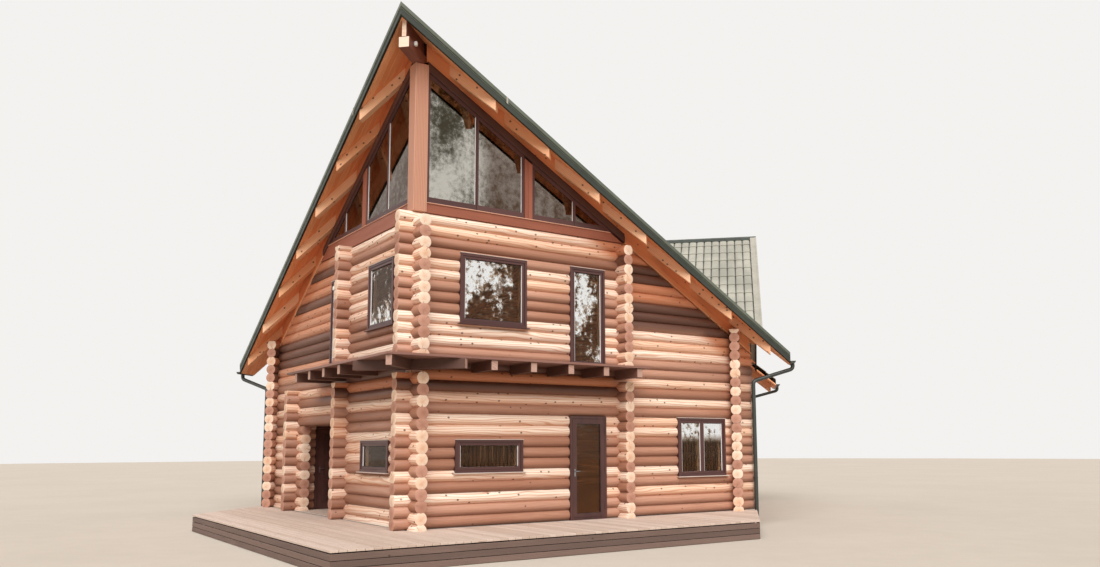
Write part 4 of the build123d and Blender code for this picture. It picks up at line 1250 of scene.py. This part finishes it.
def verge_board(line, outward, limits, lip=1):
    # the lip and the fold strip are paler than the sheet: painted highlight
    for thick, drop, finish in (((-VERGE, -0.012), (0.03, 0.25), 0), ((-VERGE, 0), (-0.015, 0.075), lip),
                                ((-VERGE, -0.004), (0.1, 0.115), 1), ((-VERGE, 0), (0.225, 0.25), 0)):
        verges.take(sloped_board(line, outward, thick, drop, 0.003, finish), limits)


for side in BOTH:
    out = side * ASIDE
    ends = [(Vector(), -out), (out * EAVE_REACH, out)]
    front_line = (level_at(0, FRONT_TIP, RIDGE), level_at(side * EAVE_REACH, EAVE_START, EAVE))
    verge_board(front_line, unit(side, -1), ends)
    verge_board((level_at(0, BACK_EDGE, RIDGE), level_at(side * EAVE_REACH, BACK_EDGE, EAVE)), REARWARD, ends)
    joint_ends = [(out * 1.7, -out), (out * 1.73, out)]
    # the joint strip is pale: painted sheen
    joint = sloped_board(front_line, unit(side, -1), (-VERGE, 0.006), (-0.015, 0.13), 0.002, 2)
    verges.take(joint, joint_ends)
    for lean in BOTH:
        reach = CROSS_REACH - JOIN
        foot = level_at(side * CROSS_REACH, MIDDLE + lean * reach, CROSS_RIDGE - SLOPE * reach)
        line = (level_at(side * CROSS_REACH, MIDDLE, CROSS_RIDGE), foot)
        ends = [(Vector((0, MIDDLE, 0)), -lean * REARWARD), (foot, lean * REARWARD)]
        verge_board(line, out, ends, 2)
        verges.take(sloped_board(line, out, (-0.19, -VERGE), (-0.004, 0.014), 0.002, 2), ends)
verges.done(["verge_boards"])

caps = Piece("ridge_caps", [metal_green])


def ridge_cap(start, end):
    direction = (end - start).normalized()
    sideways = UP.cross(direction)
    length = (end - start).length
    middle = (start + end) / 2
    caps.take(put(cylinder(0.055, length, 20), middle - UP * 0.047, sideways, UP, direction))
    for lean in BOTH:
        down_way = (sideways * lean - UP * SLOPE).normalized()
        centre = middle + down_way * 0.12 - UP * 0.01
        caps.take(block(centre, direction, direction.cross(down_way), (length, 0.16, 0.012)))


ridge_cap(level_at(0, FRONT_TIP + 0.16, RIDGE), level_at(0, BACK_EDGE - 0.1, RIDGE))
for side in BOTH:
    ridge_cap(*[level_at(side * x, MIDDLE, CROSS_RIDGE) for x in (JOIN + 0.05, CROSS_REACH - 0.01)])
caps.done()

# %% [markdown]
# ## Terrace and balcony
# The terrace planks all run the same way, along the left wing, so they meet the right wing end on. The
# balcony's planks follow each wing and are mitred at the prow.

# %% Terrace
PLANK = 0.14
PLANK_GAP = 0.006
PLANK_PITCH = PLANK + PLANK_GAP
SKIRT_BOARD = 0.105
DECK_REACH = 2.52
DECK_HALF = 6.7
DECK_TIP = -WING_RUN - DECK_REACH * math.sqrt(2)
OUTER_FACE = LOG_RADIUS + 0.02
deck = Piece("terrace_planks", [deck_wood])
deck_limits = [(ASIDE * DECK_HALF, ASIDE), (-ASIDE * DECK_HALF, -ASIDE), (Vector(), REARWARD)]
place = -DECK_REACH
while place < WING_LENGTH + 0.6:
    run = (-DECK_REACH, WING_LENGTH + 1.0 if place + PLANK < -OUTER_FACE else -OUTER_FACE)
    centre = right_wing.spot(place + PLANK / 2, -sum(run) / 2, -0.02)
    deck.take(block(centre, left_wing.heading, UP, (run[1] - run[0], PLANK, 0.04), 0.004), deck_limits)
    place += PLANK_PITCH
deck.done(["deck_boards"])

porch = Piece("entrance_planks", [deck_wood])
porch_run = widen((NICHE_NEAR, NICHE_FAR), -LOG_RADIUS)
place = -1.77
while place < LOG_RADIUS:
    end = place + min(PLANK, OUTER_FACE - place - PLANK_GAP)
    porch.bar(left_wing, porch_run, (place, end), (0.0005, 0.0125), False, 0.002)
    place += PLANK_PITCH
porch.done()

skirt = Piece("terrace_skirt_boards", [skirt_wood])
edges = [(Wall((0, DECK_TIP), (side, 1), -side), DECK_HALF * math.sqrt(2), [(Vector(), -side * ASIDE)])
         for side in BOTH]
edges += [(Wall((side * DECK_HALF, DECK_TIP + DECK_HALF), (0, 1), -side), -DECK_TIP - DECK_HALF, [])
          for side in BOTH]
for edge, length, limits in edges:
    for foot in (-0.395, -0.28, -0.165):
        up = (foot, foot + SKIRT_BOARD)
        skirt.bar(edge, (0, length), (-0.024, -0.003), up, False, 0.004, limits=limits)
skirt.done(["deck_skirt"])

# %% Balcony
REACH = 1.0
PLANK_COUNT = 6
BALCONY_TOP = 3.34
JOIST = (0.15, 0.2)
JOIST_FOOT = BALCONY_FOOT - JOIST[1]
JOIST_PITCH = 0.92
JOIST_END = REACH - 0.04
CROSS_BEAM = 0.16
planks = Piece("balcony_planks", [balcony_wood])
joists = Piece("balcony_joist_ends", [balcony_wood, balcony_end])
for wall, side, length, first in ((right_wing, 1, 5.23, 1.28), (left_wing, -1, 4.95, 1.6)):
    width = (REACH - LOG_RADIUS) / PLANK_COUNT
    for step in range(PLANK_COUNT):
        out = (LOG_RADIUS + step * width + 0.002, LOG_RADIUS + (step + 1) * width - 0.002)
        planks.bar(wall, (-2, length), out, (BALCONY_FOOT, BALCONY_TOP), False, 0.004,
                   limits=[(Vector(), -side * ASIDE)])
    place = first
    while place + JOIST[0] / 2 < length:
        centre = wall.spot(place, (LOG_RADIUS + JOIST_END) / 2, (JOIST_FOOT + BALCONY_FOOT) / 2)
        joist = block(centre, wall.out, UP, (JOIST_END - LOG_RADIUS, *JOIST), 0.006)
        joists.take(finish_ends(joist, wall.out))
        place += JOIST_PITCH
planks.done(["balcony_boards"])
joists.done(["balcony_joists"])

beams = Piece("balcony_cross_beams", [balcony_wood, balcony_end])
beam_back = -WING_RUN - LOG_RADIUS * math.sqrt(2)
prow_reach = (REACH - LOG_RADIUS) * math.sqrt(2) - CROSS_BEAM - 0.08
for place, way, length, width in ((CROSS_BEAM / 2, ASIDE, 2.3, CROSS_BEAM),
                                  (CROSS_BEAM + prow_reach / 2, REARWARD, prow_reach, 0.128)):
    centre = level_at(0, beam_back - place, JOIST_FOOT + JOIST[1] / 2)
    beams.take(finish_ends(block(centre, way, UP, (length, width, JOIST[1]), 0.006), way))
beams.done(["balcony_beams"])

# %% [markdown]
# ## Doors
# The doors' casings, hinges, leaves and handles keep the model's shape. What moves with a leaf rides on its
# door: gaskets, the blind behind the terrace door's glass, and the entrance door's raised panels.

# %% Door details
leaf = Piece("terrace_door_gasket_and_bar", [gasket, frame_wood])
ring(leaf, right_wing, (3.82, 4.46), (0.14, 2.08), 0.009, (0.127, 0.134), 0.001)
leaf.bar(right_wing, (3.74, 4.5), (0.145, 0.158), (0.06, 0.085), False, 0.004, 1)
leaf.done(body="terrace_door")
door_blind = Piece("terrace_door_blind", [blind])
slats(door_blind, right_wing, (3.825, 4.455), (0.088, 0.1), (0.145, 2.075), pitch=0.022, depth=0.011)
door_blind.done(body="terrace_door")

panels = Piece("entrance_door_panels", [door_wood])
for up in ((0.16, 0.72), (0.82, 1.3), (1.4, 1.94)):
    panels.bar(niche_door_side, (0.56, 1.16), (0.14, 0.153), up, True, 0.006)
    panels.bar(niche_door_side, (0.62, 1.1), (0.15, 0.16), widen(up, -0.06), True, 0.008)
panels.done(body="entrance_door")

# %% [markdown]
# ## Gutters, downpipes and lamps
# Half-round gutters hang under the eaves at the four corners, and a round pipe leads from each back to the
# wall. A small lamp hangs beside the ridge beam and another beside the left balcony door.

# %% Gutters
GUTTER_RADIUS = 0.0685
SHEET = 0.004
EAVE_LEVEL = BASE + EAVE - COVER
gutter_x = EAVE_REACH + GUTTER_RADIUS
gutters = Piece("half_round_gutters", [gutter_metal])
for side in BOTH:
    for start, end in eaves(0.0707):
        centre = Vector((side * gutter_x, (start + end) / 2, EAVE_LEVEL))
        shell = put(cylinder(GUTTER_RADIUS, end - start, 28, closed=False), centre, ASIDE, UP, REARWARD)
        trim(shell, [(centre, UP)], closed=False)
        bmesh.ops.recalc_face_normals(shell, faces=shell.faces[:])
        bmesh.ops.solidify(shell, geom=shell.faces[:], thickness=SHEET)
        gutters.take(shell)
        for y in (start + SHEET / 2, end - SHEET / 2):
            cap = cylinder(GUTTER_RADIUS - 0.001, SHEET, 28)
            gutters.take(put(cap, (centre.x, y, centre.z), ASIDE, UP, REARWARD), [(centre, UP)])
        for x in (SHEET - GUTTER_RADIUS, GUTTER_RADIUS - SHEET):
            bead = cylinder(0.006, end - start, 10)
            gutters.take(put(bead, centre + Vector((x, 0, -0.004)), ASIDE, UP, REARWARD))
gutters.done(["gutters"])

# %% Downpipes
PIPE_RADIUS = 0.05
PIPE_OUT = LOG_RADIUS + 0.025 + PIPE_RADIUS
PIPE_FOOT = 0.15
PIPE_KNEE = 3.22
BEND_REACH = 0.09
CLIP_COURSES = (3.5, 12.5)
clips = Piece("downpipe_clips", [gutter_metal])


def eased_path(corners, reach):
    """The corners of a pipe with each bend rounded."""
    places = [corners[0]]
    for before, corner, after in zip(corners, corners[1:], corners[2:]):
        start = corner + (before - corner).normalized() * reach
        end = corner + (after - corner).normalized() * reach
        for step in range(7):
            t = step / 6
            places.append(start * (1 - t) ** 2 + corner * 2 * t * (1 - t) + end * t ** 2)
    return places + [corners[-1]]


pipe_runs = [(wing, WING_LENGTH + CORNER_RUN_ON - 0.07, 0.6) for wing in (right_wing, left_wing)]
pipe_runs += [(wall, DEPTH - 0.4, DEPTH - 0.4) for wall in (right_side, left_side)]
for number, (wall, along, outlet) in enumerate(pipe_runs, 1):
    foot = wall.spot(along, PIPE_OUT)
    x = gutter_x if foot.x > 0 else -gutter_x
    top = EAVE_LEVEL - GUTTER_RADIUS
    corners = [Vector((x, outlet, top)), Vector((x, outlet, top - 0.12)), level_at(foot.x, foot.y, PIPE_KNEE),
               Vector((foot.x, foot.y, PIPE_FOOT))]
    places = eased_path(corners, BEND_REACH)
    name = "downpipe_" + str(number)
    curve = bpy.data.curves.new(name, "CURVE")
    curve.dimensions = "3D"
    curve.bevel_depth = PIPE_RADIUS
    curve.bevel_resolution = 5
    curve.use_fill_caps = True
    line = curve.splines.new("POLY")
    line.points.add(len(places) - 1)
    for point, place in zip(line.points, places):
        point.co = (*place, 1)
    curve.materials.append(gutter_metal)
    pipe = add_object(name, curve)
    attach(pipe, "house")
    if number == 1:
        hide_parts("downpipes")
    for course in CLIP_COURSES:
        up = wall.first_joint + course * COURSE
        clips.bar(wall, (along - 0.02, along + 0.02), (LOG_RADIUS, PIPE_OUT - 0.04), (up - 0.02, up + 0.02))
        band = cylinder(PIPE_RADIUS + 0.003, 0.03, 28)
        clips.take(put(band, level_at(foot.x, foot.y, up), ASIDE, REARWARD, UP))
clips.done()

# %% Lamps on the house
lamps = Piece("outdoor_lamps", [white_lamp])
lamps.take(block(level_at(0.14, -6.85, 9.6), UP, ASIDE, (0.09, 0.07, 0.06), 0.01))
lamps.bar(left_wing, (3.52, 3.6), (0.35, 0.43), (5.18, 5.28), False, 0.012)
lamps.done()

# %% [markdown]
# ## Floor
# A wide pale floor takes the shadow and isn't part of the house.

# %% Floor
pale_floor = by_place("pale_floor", (205, 195, 182), (200, 190, 177), (0.2, 0.2, 0.2), 0.9, 0.0)
ground = start_shape()
bmesh.ops.create_circle(ground, cap_ends=True, segments=64, radius=120)
floor_mesh = bpy.data.meshes.new("floor")
ground.to_mesh(floor_mesh)
ground.free()
floor_mesh.materials.append(pale_floor)
floor = add_object("floor", floor_mesh)
floor.location.z = -0.002
